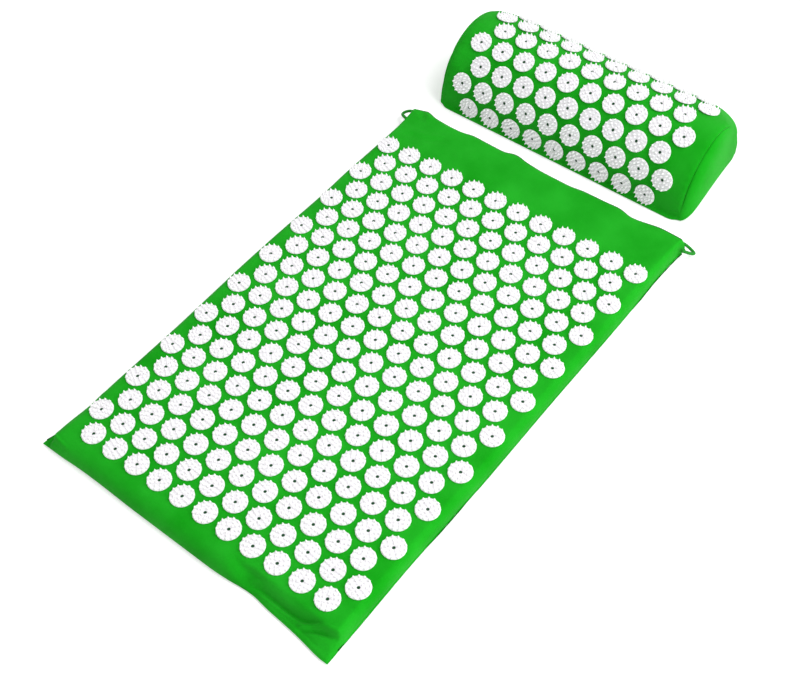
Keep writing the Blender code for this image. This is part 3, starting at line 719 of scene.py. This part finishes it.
def circle(radius, height, count):
    """Points of a level circle about the Z axis."""
    turns = [2 * math.pi * i / count for i in range(count)]
    return [(radius * math.cos(turn), radius * math.sin(turn), height) for turn in turns]


def plate_template():
    """The plate's own small mesh: rim, eased edge, top and the wall of the hole."""
    profile = ((DISC_RADIUS - 1.2, 0.05), (DISC_RADIUS, 0.55), (DISC_RADIUS, 1.0),
               (DISC_RADIUS - 0.4, DISC_PLATE), (DISC_HOLE, DISC_PLATE), (DISC_HOLE - 0.2, 0.05))
    bm = bmesh.new()
    band(bm, [[bm.verts.new(Vector(place) * MM) for place in circle(*ring, 20)] for ring in profile])
    made = made_of("disc plate", bm)
    made.data.set_sharp_from_angle(angle=math.radians(40))
    return made


def hole_shade_template():
    """A flat dark spot in a disc's hole: painted shade, standing in for the shade down the hole."""
    mesh = bpy.data.meshes.new("welded spot")
    mesh.from_pydata(circle(DISC_HOLE * MM, SPOT_HEIGHT * MM, 10), [], [tuple(range(10))])
    return placed("welded spot", mesh)


def new_tree(name, inputs):
    """A geometry tree with named inputs and one output: a link to build on, and its inputs as links."""
    tree = bpy.data.node_groups.new(name, "GeometryNodeTree")
    for word, kind in inputs.items():
        tree.interface.new_socket(word, in_out="INPUT", socket_type="NodeSocket" + kind)
    tree.interface.new_socket("Made", in_out="OUTPUT", socket_type="NodeSocketGeometry")
    link = Link(tree)
    group = link.node("NodeGroupInput")
    return link, {word: group.other(word) for word in inputs}


def joined(link, parts):
    join = link.node("GeometryNodeJoinGeometry")
    for part in parts:
        link.tree.links.new(part.socket, join.socket.node.inputs[0])
    return join


def tree_of(link, last):
    """The finished tree: its last link goes to the output."""
    leaving = link.tree.nodes.new("NodeGroupOutput")
    link.tree.links.new(last.socket, leaving.inputs[0])
    return link.tree


def chance(link, most, seed):
    """A random number from 0 to the most, for each point."""
    return link.node("FunctionNodeRandomValue", {"data_type": "FLOAT"},
                     {"Min": 0.0, "Max": most, "Seed": seed}, output=1)


def disc_tree():
    """Geometry nodes: three rings of spikes on the plate, and that disc on every point."""
    link, given = new_tree("spiked discs", {"Points": "Geometry", "Spike height": "Float", "Spike foot": "Float",
                                            "Plate thickness": "Float", "Plate": "Object", "Finish": "Material",
                                            "Spot": "Object", "Spot finish": "Material"})
    spike = link.node("GeometryNodeMeshCone", {"fill_type": "NONE"},
                      {"Vertices": 4, "Radius Bottom": given["Spike foot"], "Depth": given["Spike height"]})
    parts = [link.node("GeometryNodeObjectInfo", {}, {"Object": given["Plate"]}, output=4)]
    lift = link.node("ShaderNodeCombineXYZ", {}, {"Z": given["Plate thickness"]})
    for count, radius in SPIKE_RINGS:
        ring = link.node("GeometryNodeMeshCircle", {}, {"Vertices": count, "Radius": radius * MM})
        twist = link.node("ShaderNodeCombineXYZ", {}, {"Z": chance(link, 1.5, count)})
        spikes = link.node("GeometryNodeInstanceOnPoints", {},
                           {"Points": ring, "Instance": spike, "Rotation": twist})
        parts.append(link.node("GeometryNodeTransform", {}, {"Geometry": spikes, "Translation": lift}))
    white = link.node("GeometryNodeSetMaterial", {},
                      {"Geometry": joined(link, parts), "Material": given["Finish"]})
    dark = link.node("GeometryNodeObjectInfo", {}, {"Object": given["Spot"]}, output=4)
    dark = link.node("GeometryNodeSetMaterial", {}, {"Geometry": dark, "Material": given["Spot finish"]})
    normal = link.node("GeometryNodeInputNamedAttribute", {"data_type": "FLOAT_VECTOR"}, {"Name": "up"})
    stand = link.node("FunctionNodeAlignRotationToVector", {"axis": "Z"}, {"Vector": normal})
    about = link.node("FunctionNodeAxisAngleToRotation", {},
                      {"Axis": (0.0, 0.0, 1.0), "Angle": chance(link, 2 * math.pi, 7)})
    turned = link.node("FunctionNodeRotateRotation", {"rotation_space": "LOCAL"}, {0: stand, 1: about})
    spread_out = link.node("GeometryNodeInstanceOnPoints", {}, {"Points": given["Points"], "Rotation": turned,
                                                                "Instance": joined(link, (white, dark))})
    return tree_of(link, link.node("GeometryNodeRealizeInstances", {}, {"Geometry": spread_out}))


def grown(name, points, normals, tree, sizes):
    """A plain mesh from a Geometry Nodes tree run on points; sizes are its named inputs."""
    seeds = bpy.data.meshes.new(name)
    seeds.from_pydata((np.array(points) * MM).tolist(), [], [])
    up = seeds.attributes.new("up", "FLOAT_VECTOR", "POINT")
    up.data.foreach_set("vector", np.array(normals, np.float32).ravel())
    made = placed(name, seeds)
    step = made.modifiers.new("grown", "NODES")
    step.node_group = tree
    for item in tree.interface.items_tree:
        if item.name in sizes:
            step[item.identifier] = sizes[item.name]
    worked_in(made)
    return made


def cloth_under(cover, point, out):
    """The cloth's place and slope under a disc, from five rays down its axis."""
    aside = out.orthogonal().normalized() * RAY_OFFSET
    ahead = out.cross(aside)
    hits = []
    for offset in (Vector(), aside, -aside, ahead, -ahead):
        found = cover.ray_cast((point + offset + out * 20) * MM, -out, 0.06)[0]
        hits.append(found / MM if found is not None else point + offset)
    normal = (hits[1] - hits[2]).cross(hits[3] - hits[4]).normalized()
    if normal.dot(out) < 0:
        normal = -normal
    high = max((hit - point).dot(out) for hit in hits)
    return point + out * (0.5 * high + 0.5 * (hits[0] - point).dot(out)), normal


def add_discs(body, spots, leans):
    made = grown(body + "_discs", spots, leans, discs, disc_sizes)
    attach(made, body)


# Painted light: the small emission makes the discs glow a little, lifting their shaded sides towards white. The
# subsurface light is real.
white_plastic_with_glow, shader, cloud = dyed("white plastic", 6 * MM, 2.0, (0.87, 0.855, 0.885), (0.90, 0.89, 0.905),
                                    IOR=1.49, Specular_IOR_Level=0.3, Subsurface_Weight=0.6,
                                    Subsurface_Radius=(1.0, 1.0, 1.0), Subsurface_Scale=4.0 * MM,
                                    Emission_Color=(1.0, 0.97, 1.0, 1.0), Emission_Strength=0.06)
feed(shader, mottle(cloud, 2 * MM, 2.0).between(0.30, 0.46), "Roughness")
# Painted shade: the near-black spot laid in each disc's hole.
hole_shade_finish = dyed("welded cloth", 1.5 * MM, 2.0, (0.002, 0.035, 0.010), (0.006, 0.075, 0.020), Roughness=0.5,
              Specular_IOR_Level=0.4)[0]
plate, spot = plate_template(), hole_shade_template()
discs = disc_tree()
disc_sizes = {"Spike height": SPIKE_HEIGHT * MM, "Spike foot": SPIKE_FOOT * MM,
              "Plate thickness": DISC_PLATE * MM, "Plate": plate, "Finish": white_plastic_with_glow,
              "Spot": spot, "Spot finish": hole_shade_finish}

spots, leans = [], []
under = bvh_of(mat_top)
for row in range(MAT_ROWS):
    count = 12 - row % 2
    y = MAT_FIELD_SHIFT + ((MAT_ROWS - 1) / 2 - row) * ROW_PITCH
    for i in range(count):
        point = Vector(((i - (count - 1) / 2) * DISC_PITCH, y, MAT_TOP))
        place, lean = cloth_under(under, point, Vector((0, 0, 1)))
        spots.append(place)
        leans.append(lean)
add_discs("mat", spots, leans)


# Pillow cover, top
# One panel of the same cotton over the half-round foam, from a flat lip on the floor in front over
# the top to the zip low at the back. Its ends round in to narrow sunken seams with the end panels.

PILLOW_RADIUS = 81.0
PILLOW_MIDDLE = (-11.7, 453.0156)
PILLOW_AXIS = 5.962               # the half-round's middle over the floor
PILLOW_FIELD_X = -13.1            # the middle of its discs
PILLOW_ROWS = 7
# Of the left and the right end: half the length, how far its panel swells and how square that swell is,
# how much lower its upper back corner lies, and how much more it swells towards the front.
PILLOW_ENDS = {-1: (180.6, 10.5, 3.4, 3.0, -0.02), 1: (182.0, 8.6, 2.8, 21.0, 0.12)}
PILLOW_STEP = 28.8 / PILLOW_RADIUS
PILLOW_FRONT = math.radians(173.2)
PILLOW_REAR = PILLOW_FRONT - 6 * PILLOW_STEP
PILLOW_LIFT = 0.3                 # cloth over the flats' level, as the round cuts their corners
BACK_ROUND = 12.0
BACK_WALL = 519.77
END_ROUND = 3.2                   # how far the cover sinks towards an end seam
END_CUT_TURN = math.radians(42)
END_CUT_SPREAD = math.radians(28)
HEEL_SHARE = 0.80                 # of that cut, how far its lower back corner comes in
WRINKLES = ((108, 0.9), (118, 1.0), (129, 0.8), (141, 0.6))   # turn in degrees and height, at the left end
PUCKER = 0.3                      # small waves of the cover along its end seams
PUCKER_LENGTH = 11.0
SEAM_SINK = 0.4
SEAM_DITCH = 0.9                  # width of that narrow sink
END_REACH = 50.0                  # from an end, where its shape takes over
ROUND_REACH = 11.0
HEEL_TOP = 35.0


def end_cut(section, end_share, side):
    """Lowers the upper back corner of a section near an end."""
    away = section - (PILLOW_MIDDLE[1], PILLOW_AXIS)
    turn = np.arctan2(away[:, 1], away[:, 0])
    cut = PILLOW_ENDS[side][3] * end_share * np.exp(-((turn - END_CUT_TURN) / END_CUT_SPREAD) ** 2)
    cut = cut[:, None] * np.stack([np.cos(turn), np.sin(turn)], axis=1)
    heel = np.clip(1 - section[:, 1] / HEEL_TOP, 0, 1) ** 1.5 * (away[:, 0] > 0)
    cut[:, 0] += HEEL_SHARE * PILLOW_ENDS[side][3] * end_share * heel
    return section - cut


def pillow_line(end_share, lip_share, side):
    """The cover's section from its front lip to the slot at the back. At the ends the lip is gone."""
    radius = PILLOW_RADIUS + PILLOW_LIFT
    turn = np.linspace(math.radians(177.5), PILLOW_REAR, 64)
    line = [PILLOW_MIDDLE[1] + radius * np.cos(turn), PILLOW_AXIS + radius * np.sin(turn)]
    half = PILLOW_RADIUS * math.tan(PILLOW_STEP / 2)
    inner = PILLOW_RADIUS - BACK_ROUND
    round_y = PILLOW_MIDDLE[1] + inner * math.cos(PILLOW_REAR) + half * math.sin(PILLOW_REAR)
    round_z = PILLOW_AXIS + inner * math.sin(PILLOW_REAR) - half * math.cos(PILLOW_REAR)
    turn = np.linspace(PILLOW_REAR, 0.0, 10)
    outer = BACK_ROUND + PILLOW_LIFT
    back = [round_y + outer * np.cos(turn), round_z + outer * np.sin(turn)]
    fall = np.linspace(round_z, SLOT_TOP, 8)[1:]
    wall = [np.full(len(fall), BACK_WALL + PILLOW_LIFT), fall]
    lip = np.array([(366.4, 366.9, 368.6, 370.3, 371.3), (0.7, 1.3, 1.9, 3.0, 5.5)])
    bare = np.array([(371.6, 370.6, 370.6, 371.2, 371.7), (0.3, 0.9, 2.6, 4.8, 7.2)])
    front = bare + (lip - bare) * lip_share
    return end_cut(np.concatenate([front, line, back, wall], axis=1).T, end_share, side)


def rounded(away, reach):
    """A quarter of an ellipse: 1 at an end, 0 and level from its reach on."""
    return 1 - math.sqrt(1 - 0.96 * max(1 - away / reach, 0) ** 2)


def end_share_at(away):
    return rounded(away, END_REACH) / rounded(0, END_REACH)


def lip_share_at(away):
    return 1 - math.exp(-(away / 6.0) ** 2)


def drawn_in(section, share):
    """The section drawn in towards its middle, but not at the floor."""
    middle = np.array((PILLOW_MIDDLE[1] - 8.0, PILLOW_AXIS + PILLOW_RADIUS / 2))
    places = middle + (section - middle) * share
    return places + (section - places) * np.clip(1.4 - section[:, 1:] / 20.0, 0, 1)


def sunk(section, x, away):
    """The section as it rounds in and down towards the end seam."""
    sink = END_ROUND * rounded(away, ROUND_REACH) / rounded(0, ROUND_REACH)
    sink += SEAM_SINK * math.exp(-(away / SEAM_DITCH) ** 2)
    offset = section - (PILLOW_MIDDLE[1], PILLOW_AXIS)
    turn = np.arctan2(offset[:, 1], offset[:, 0])
    waves = np.sin(turn * PILLOW_RADIUS * 2 * np.pi / PUCKER_LENGTH)
    lift = PUCKER * waves * math.exp(-((away - 3.5) / 3.0) ** 2)
    if x < 0:
        for degrees, height in WRINKLES:
            near = np.exp(-((turn - math.radians(degrees)) / 0.04) ** 2)
            lift = lift + height * near * math.exp(-((away - 11.0) / 8.0) ** 2)
    section = section + lift[:, None] * np.stack([np.cos(turn), np.sin(turn)], axis=1)
    places = drawn_in(section, 1 - sink / PILLOW_RADIUS)
    places[:, 1] = np.maximum(places[:, 1], 0.0)
    return places


def end_of(x):
    """The side a place along the pillow belongs to, and how far it is from that end."""
    side = -1 if x < 0 else 1
    return side, PILLOW_ENDS[side][0] - abs(x)


end_aways = np.array([0, 0.4, 0.9, 1.5, 2.4, 3.6, 5.2, 7.4, 10.2, 13.6, 17.6, 22.0])
left_end, right_end = -PILLOW_ENDS[-1][0], PILLOW_ENDS[1][0]
level_x = np.linspace(left_end + 26.5, right_end - 26.5, 68)
pillow_x = np.concatenate([left_end + end_aways, level_x, right_end - end_aways[::-1]])
grid = []
for x in pillow_x:
    side, away = end_of(x)
    section = sunk(pillow_line(end_share_at(away), lip_share_at(away), side), x, away)
    grid.append(np.column_stack([np.full(len(section), PILLOW_MIDDLE[0] + x), section]))
grid = np.stack(grid, axis=1)
slot_edge = zip_span(pillow_x, SLOT_TOP, SLOT_END)
wall_top = grid[-5, 0, 2]
grid[-4:, :, 2] = slot_edge + (grid[-4:, :, 2] - SLOT_TOP) * (wall_top - slot_edge) / (wall_top - SLOT_TOP)
hem = np.stack([grid[-1] + (0, -step, HEM_GAP) for step in hem_steps])
grid = np.concatenate([grid, hem])
pillow_top = panel_mesh("pillow_cover_top", grid, cloth_green)
pillow_top.data.flip_normals()
finer(pillow_top)
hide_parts("pillow_top_cover")
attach(pillow_top, "pillow")

spots, leans = [], []
under = bvh_of(pillow_top)
for row in range(PILLOW_ROWS):
    count = 9 + row % 2
    turn = PILLOW_FRONT - row * PILLOW_STEP
    out = Vector((0, math.cos(turn), math.sin(turn)))
    for i in range(count):
        point = Vector((PILLOW_FIELD_X + (i - (count - 1) / 2) * DISC_PITCH, PILLOW_MIDDLE[1], PILLOW_AXIS))
        place, lean = cloth_under(under, point + out * PILLOW_RADIUS, out)
        spots.append(place)
        leans.append(lean)
add_discs("pillow", spots, leans)


# Pillow end panels
# Two half-round pieces of the same cotton that close the ends. The foam swells them out.

CROWN_STEPS = (1.0, 0.996, 0.985, 0.965, 0.935, 0.895, 0.845, 0.785, 0.715, 0.635, 0.545, 0.44, 0.32, 0.19, 0.06)


def end_ring(share, side):
    """The whole outline of an end: the cover's end section and a line back along the floor."""
    section = pillow_line(1.0, 0.0, side)
    heel = end_cut(np.array([(BACK_WALL + PILLOW_LIFT, 8.0), (BACK_WALL - 0.4, 4.0), (BACK_WALL - 2.0, 1.5),
                             (BACK_WALL - 5.0, 0.4)]), 1.0, side)
    back, front = heel[-1, 0], section[0, 0]
    heel[:, 1] = np.maximum(heel[:, 1], 0.3)
    floor_y = np.linspace(back, front, 22)[1:-1]
    ring = np.concatenate([section, heel, np.column_stack([floor_y, np.full(20, 0.2)])])
    return drawn_in(ring, share)


for side, word in ((-1, "left"), (1, "right")):
    half, crown, power, cut, skew = PILLOW_ENDS[side]
    outline = end_ring(1 - (END_ROUND - 0.2) / PILLOW_RADIUS, side)
    rings = []
    for step in CROWN_STEPS:
        ring = outline + (outline.mean(axis=0) - outline) * (1 - step)
        if step == 1.0:
            ring = end_ring(1 - (END_ROUND + SEAM_SINK + 0.5) / PILLOW_RADIUS, side)
        ring[:, 1] = np.maximum(ring[:, 1], 0.0)
        swollen = (crown + skew * (PILLOW_MIDDLE[1] - ring[:, 0])) * math.sqrt(1 - step ** power)
        x = PILLOW_MIDDLE[0] + side * (half + swollen)
        rings.append(np.column_stack([x, ring]))
    count = len(rings[0])
    points = np.concatenate(rings + [rings[-1].mean(axis=0, keepdims=True)])
    faces = []
    for k in range(len(rings) - 1):
        for i in range(count):
            j = (i + 1) % count
            faces.append((k * count + i, k * count + j, (k + 1) * count + j, (k + 1) * count + i))
    last = (len(rings) - 1) * count
    faces += [(last + i, last + (i + 1) % count, len(points) - 1) for i in range(count)]
    if side == 1:
        faces = [face[::-1] for face in faces]
    mesh = bpy.data.meshes.new("pillow_end_" + word)
    mesh.from_pydata((points * MM).tolist(), [], faces)
    layer = mesh.uv_layers.new(name="cloth")
    corners = np.array([v for face in faces for v in face])
    layer.data.foreach_set("uv", (points[corners][:, 1:] * MM).astype(np.float32).ravel())
    mesh.materials.append(cloth_green)
    mesh.shade_smooth()
    panel = placed("pillow_end_" + word, mesh)
    held = np.zeros(len(points))
    held[:2 * count] = 1
    held[points[:, 2] < 1.0] = 1
    swell(panel, held, CLOTH_PRESSURE, 1.5)
    finer(panel)
    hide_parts("pillow_end_panel_" + word)
    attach(panel, "pillow")


# Pillow base panel
# A plain cotton panel on the floor, sewn to the top cover's lip in front and to the end panels, and
# turned up at the back to the lower side of the zip.

base_y = np.concatenate([[366.4, 367.2, 369.0], np.linspace(374.0, BACK_WALL - 5.0, 22),
                         [BACK_WALL - 2.5, BACK_WALL - 0.9, BACK_WALL + 0.1, BACK_WALL + PILLOW_LIFT]])
base_z = np.concatenate([[0.6, 0.2, 0.0], np.zeros(22), [0.3, 1.1, 2.4, SLOT_BASE]])
columns = []
for x in pillow_x:
    side, away = end_of(x)
    in_share = math.exp(-(away / 9.0) ** 2)
    y = base_y + (1 - lip_share_at(away)) * np.clip(371.6 - base_y, 0, None)
    z = base_z + 2.4 * math.exp(-(away / 2.0) ** 2) * (base_z < 2.4)
    z[-1] = zip_span(np.array([x]), SLOT_BASE, 5.0)[0]
    section = end_cut(np.column_stack([y, z]), end_share_at(away), side)
    section[:, 1] = np.maximum(section[:, 1], 0.0)
    columns.append(np.column_stack([np.full(len(y), PILLOW_MIDDLE[0] + x * (1 - 0.004 * in_share)), section]))
grid = np.stack(columns, axis=1)
hem = np.stack([grid[-1] + (0, -step, -HEM_GAP) for step in hem_steps])
pillow_base = panel_mesh("pillow_cover_base", np.concatenate([grid, hem]), cloth_green)
pillow_base.data.flip_normals()
finer(pillow_base)
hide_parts("pillow_base_panel")
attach(pillow_base, "pillow")


# Pillow foam
# A half-round block of the same foam as the mat's, a little smaller than its cover.

FOAM_ENDS = ((4.0, 0.45), (2.0, 0.72), (-1.0, 0.92), (-6.0, 0.95))   # place past the end, and size there

foam_rings = []
for x, share in ([(left_end - past, share) for past, share in FOAM_ENDS] + [(0.0, 0.95)]
                 + [(right_end + past, share) for past, share in FOAM_ENDS[::-1]]):
    ring = end_ring(1.0, -1 if x < 0 else 1)[::2]
    ring += (ring.mean(axis=0) - ring) * (1 - share)
    ring[:, 1] = np.maximum(ring[:, 1], 2.0)
    ring[:, 0] = np.minimum(ring[:, 0], BACK_WALL - 6.5)
    foam_rings.append([Vector((PILLOW_MIDDLE[0] + x, y, z)) * MM for y, z in ring])
bm = bmesh.new()
capped(bm, [[bm.verts.new(place) for place in ring] for ring in foam_rings])
pillow_foam = made_of("pillow_foam", bm, foam)
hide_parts("pillow_foam_core")
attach(pillow_foam, "pillow")


# Zips
# Each is a nylon coil sewn along two woven tapes behind the slot, with metal stops at its ends and an
# enamelled metal slider and pull. Two rows of stitches hold the tapes to the turned hems.

ZIP_RISE = 8.2
TAPE_DEPTH = 1.45
TAPE_HALF = 164.7
TAPE_LOW, TAPE_HIGH = 2.6, 6.4
TAPE_HALF_THICK = 0.25
TEETH_HALF = 161.4
COIL_PITCH = 1.7
COIL_PATH = ((-0.75, 2.1), (-0.8, 1.0), (-0.45, 0.5), (0.0, 0.38), (0.45, 0.5), (0.8, 1.0), (0.75, 2.1))
COIL_THICK = 0.3
STITCH_PATH = ((0.0, 0.0), (0.26, 0.5), (0.26, 1.9), (0.0, 2.4))
STITCH_THICK = 0.22
STITCH_PITCH = 3.2
STITCH_OFFSET = 1.7               # from the slot's edge


def tape_finish():
    """Woven tape with fine ribs across it."""
    made, shader, link = new_finish("green zip tape", Roughness=0.8, Sheen_Weight=0.1, Specular_IOR_Level=0.25)
    place = link.node("ShaderNodeTexCoord", {}, {}, output=3)
    ribs = link.node("ShaderNodeTexWave", {"bands_direction": "X"}, {"Vector": place, "Scale": 0.16 / MM}, 1)
    # Painted shade: the low parts of the ribs are painted darker.
    feed(shader, ribs.mix((0.001, 0.17, 0.004, 1.0), (0.004, 0.36, 0.010, 1.0)), "Base Color")
    feed(shader, bump(ribs, 0.5, 0.1 * MM), "Normal")
    return made


def tube_template(name, path, thick, sides, finish):
    """A small tube through points in the piece's own Y-Z plane, closed at both ends."""
    path = [Vector((0, y, z)) for y, z in path]
    bm = bmesh.new()
    rings = []
    for k, point in enumerate(path):
        run = run_at(path, k)
        across = Vector((1, 0, 0))
        up = run.cross(across)
        rings.append([bm.verts.new((point + across * x + up * y) * MM) for x, y, z in circle(thick, 0.0, sides)])
    capped(bm, rings)
    return made_of(name, bm, finish)


def repeat_tree():
    """Geometry nodes: one template on every point, turned about X by the point's own angle."""
    link, given = new_tree("repeated piece", {"Points": "Geometry", "Template": "Object", "Finish": "Material"})
    body = link.node("GeometryNodeObjectInfo", {}, {"Object": given["Template"]}, output=4)
    turn = link.node("GeometryNodeInputNamedAttribute", {"data_type": "FLOAT_VECTOR"}, {"Name": "up"})
    spread_out = link.node("GeometryNodeInstanceOnPoints", {},
                           {"Points": given["Points"], "Instance": body, "Rotation": turn})
    real = link.node("GeometryNodeRealizeInstances", {}, {"Geometry": spread_out})
    named = link.node("GeometryNodeSetMaterial", {}, {"Geometry": real, "Material": given["Finish"]})
    return tree_of(link, named)


tape_green = tape_finish()
nylon, shader, cloud = dyed("green nylon", 3 * MM, 2.0, (0.002, 0.20, 0.004), (0.006, 0.34, 0.012),
                            Specular_IOR_Level=0.5)
feed(shader, cloud.between(0.32, 0.5), "Roughness")
# Green enamel on cast metal, worn a little smoother in places.
enamel, shader, cloud = dyed("green enamel", 2.5 * MM, 3.0, (0.003, 0.20, 0.006), (0.008, 0.30, 0.014),
                             Metallic=0.2, Coat_Weight=0.4, Coat_Roughness=0.15)
feed(shader, cloud.between(0.22, 0.42), "Roughness")
feed(shader, bump(mottle(cloud, 0.8 * MM, 2.0), 0.15, 0.1 * MM), "Normal")
thread = dyed("green thread", 1.0 * MM, 1.0, (0.002, 0.22, 0.004), (0.006, 0.36, 0.010), Roughness=0.7,
              Specular_IOR_Level=0.3)[0]
coil = tube_template("coil link", COIL_PATH, COIL_THICK, 5, nylon)
stitch = tube_template("stitch", STITCH_PATH, STITCH_THICK, 5, thread)
repeats = repeat_tree()
for prefix, middle_x, wall_y, over, under in (("mat", 0.0, HEAD_WALL, mat_top, mat_base),
                                              ("pillow", PILLOW_MIDDLE[0], BACK_WALL, pillow_top, pillow_base)):
    for way, word in ((1, "upper"), (-1, "lower")):
        low, high = sorted((ZIP_RISE + way * TAPE_LOW, ZIP_RISE + way * TAPE_HIGH))
        plane = wall_y - TAPE_DEPTH
        tape = soft_block(f"{prefix}_tape_{word}", (middle_x - TAPE_HALF, plane - TAPE_HALF_THICK, low),
                          (middle_x + TAPE_HALF, plane + TAPE_HALF_THICK, high), 0.2, tape_green)
        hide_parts(f"{prefix}_zip_tape_{word}")
        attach(tape, prefix)
        count = int(2 * TEETH_HALF / COIL_PITCH)
        along = middle_x - TEETH_HALF + COIL_PITCH * (np.arange(count) + (0.25 if way > 0 else 0.75))
        places = np.column_stack([along, np.full(count, plane), np.full(count, ZIP_RISE)])
        turns = np.tile((0.0 if way > 0 else math.pi, 0.0, 0.0), (count, 1))
        row = grown(f"{prefix}_teeth_{word}", places, turns, repeats, {"Template": coil, "Finish": nylon})
        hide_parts(f"{prefix}_zip_teeth_{word}")
        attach(row, prefix)
    for part in ("top_stop_upper", "top_stop_lower", "end_stop", "slider", "pull"):
        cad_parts[f"{prefix}_zip_{part}"].material_slots[0].material = enamel
    places, turns = [], []
    for piece, level in ((over, SLOT_TOP + STITCH_OFFSET), (under, SLOT_BASE - STITCH_OFFSET)):
        tree = bvh_of(piece)
        for x in np.arange(middle_x - ZIP_HALF + 4, middle_x + ZIP_HALF - 4, STITCH_PITCH):
            found = tree.ray_cast(Vector((x, wall_y + 20, level)) * MM, Vector((0, -1, 0)), 0.03)[0]
            if found is not None:
                places.append(tuple(found / MM))
                turns.append((0.0, math.pi / 2, math.pi / 2))
    stitches = grown(f"{prefix}_zip_stitches", places, turns, repeats, {"Template": stitch, "Finish": thread})
    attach(stitches, prefix)


for template in (plate, spot, coil, stitch):
    bpy.data.objects.remove(template)
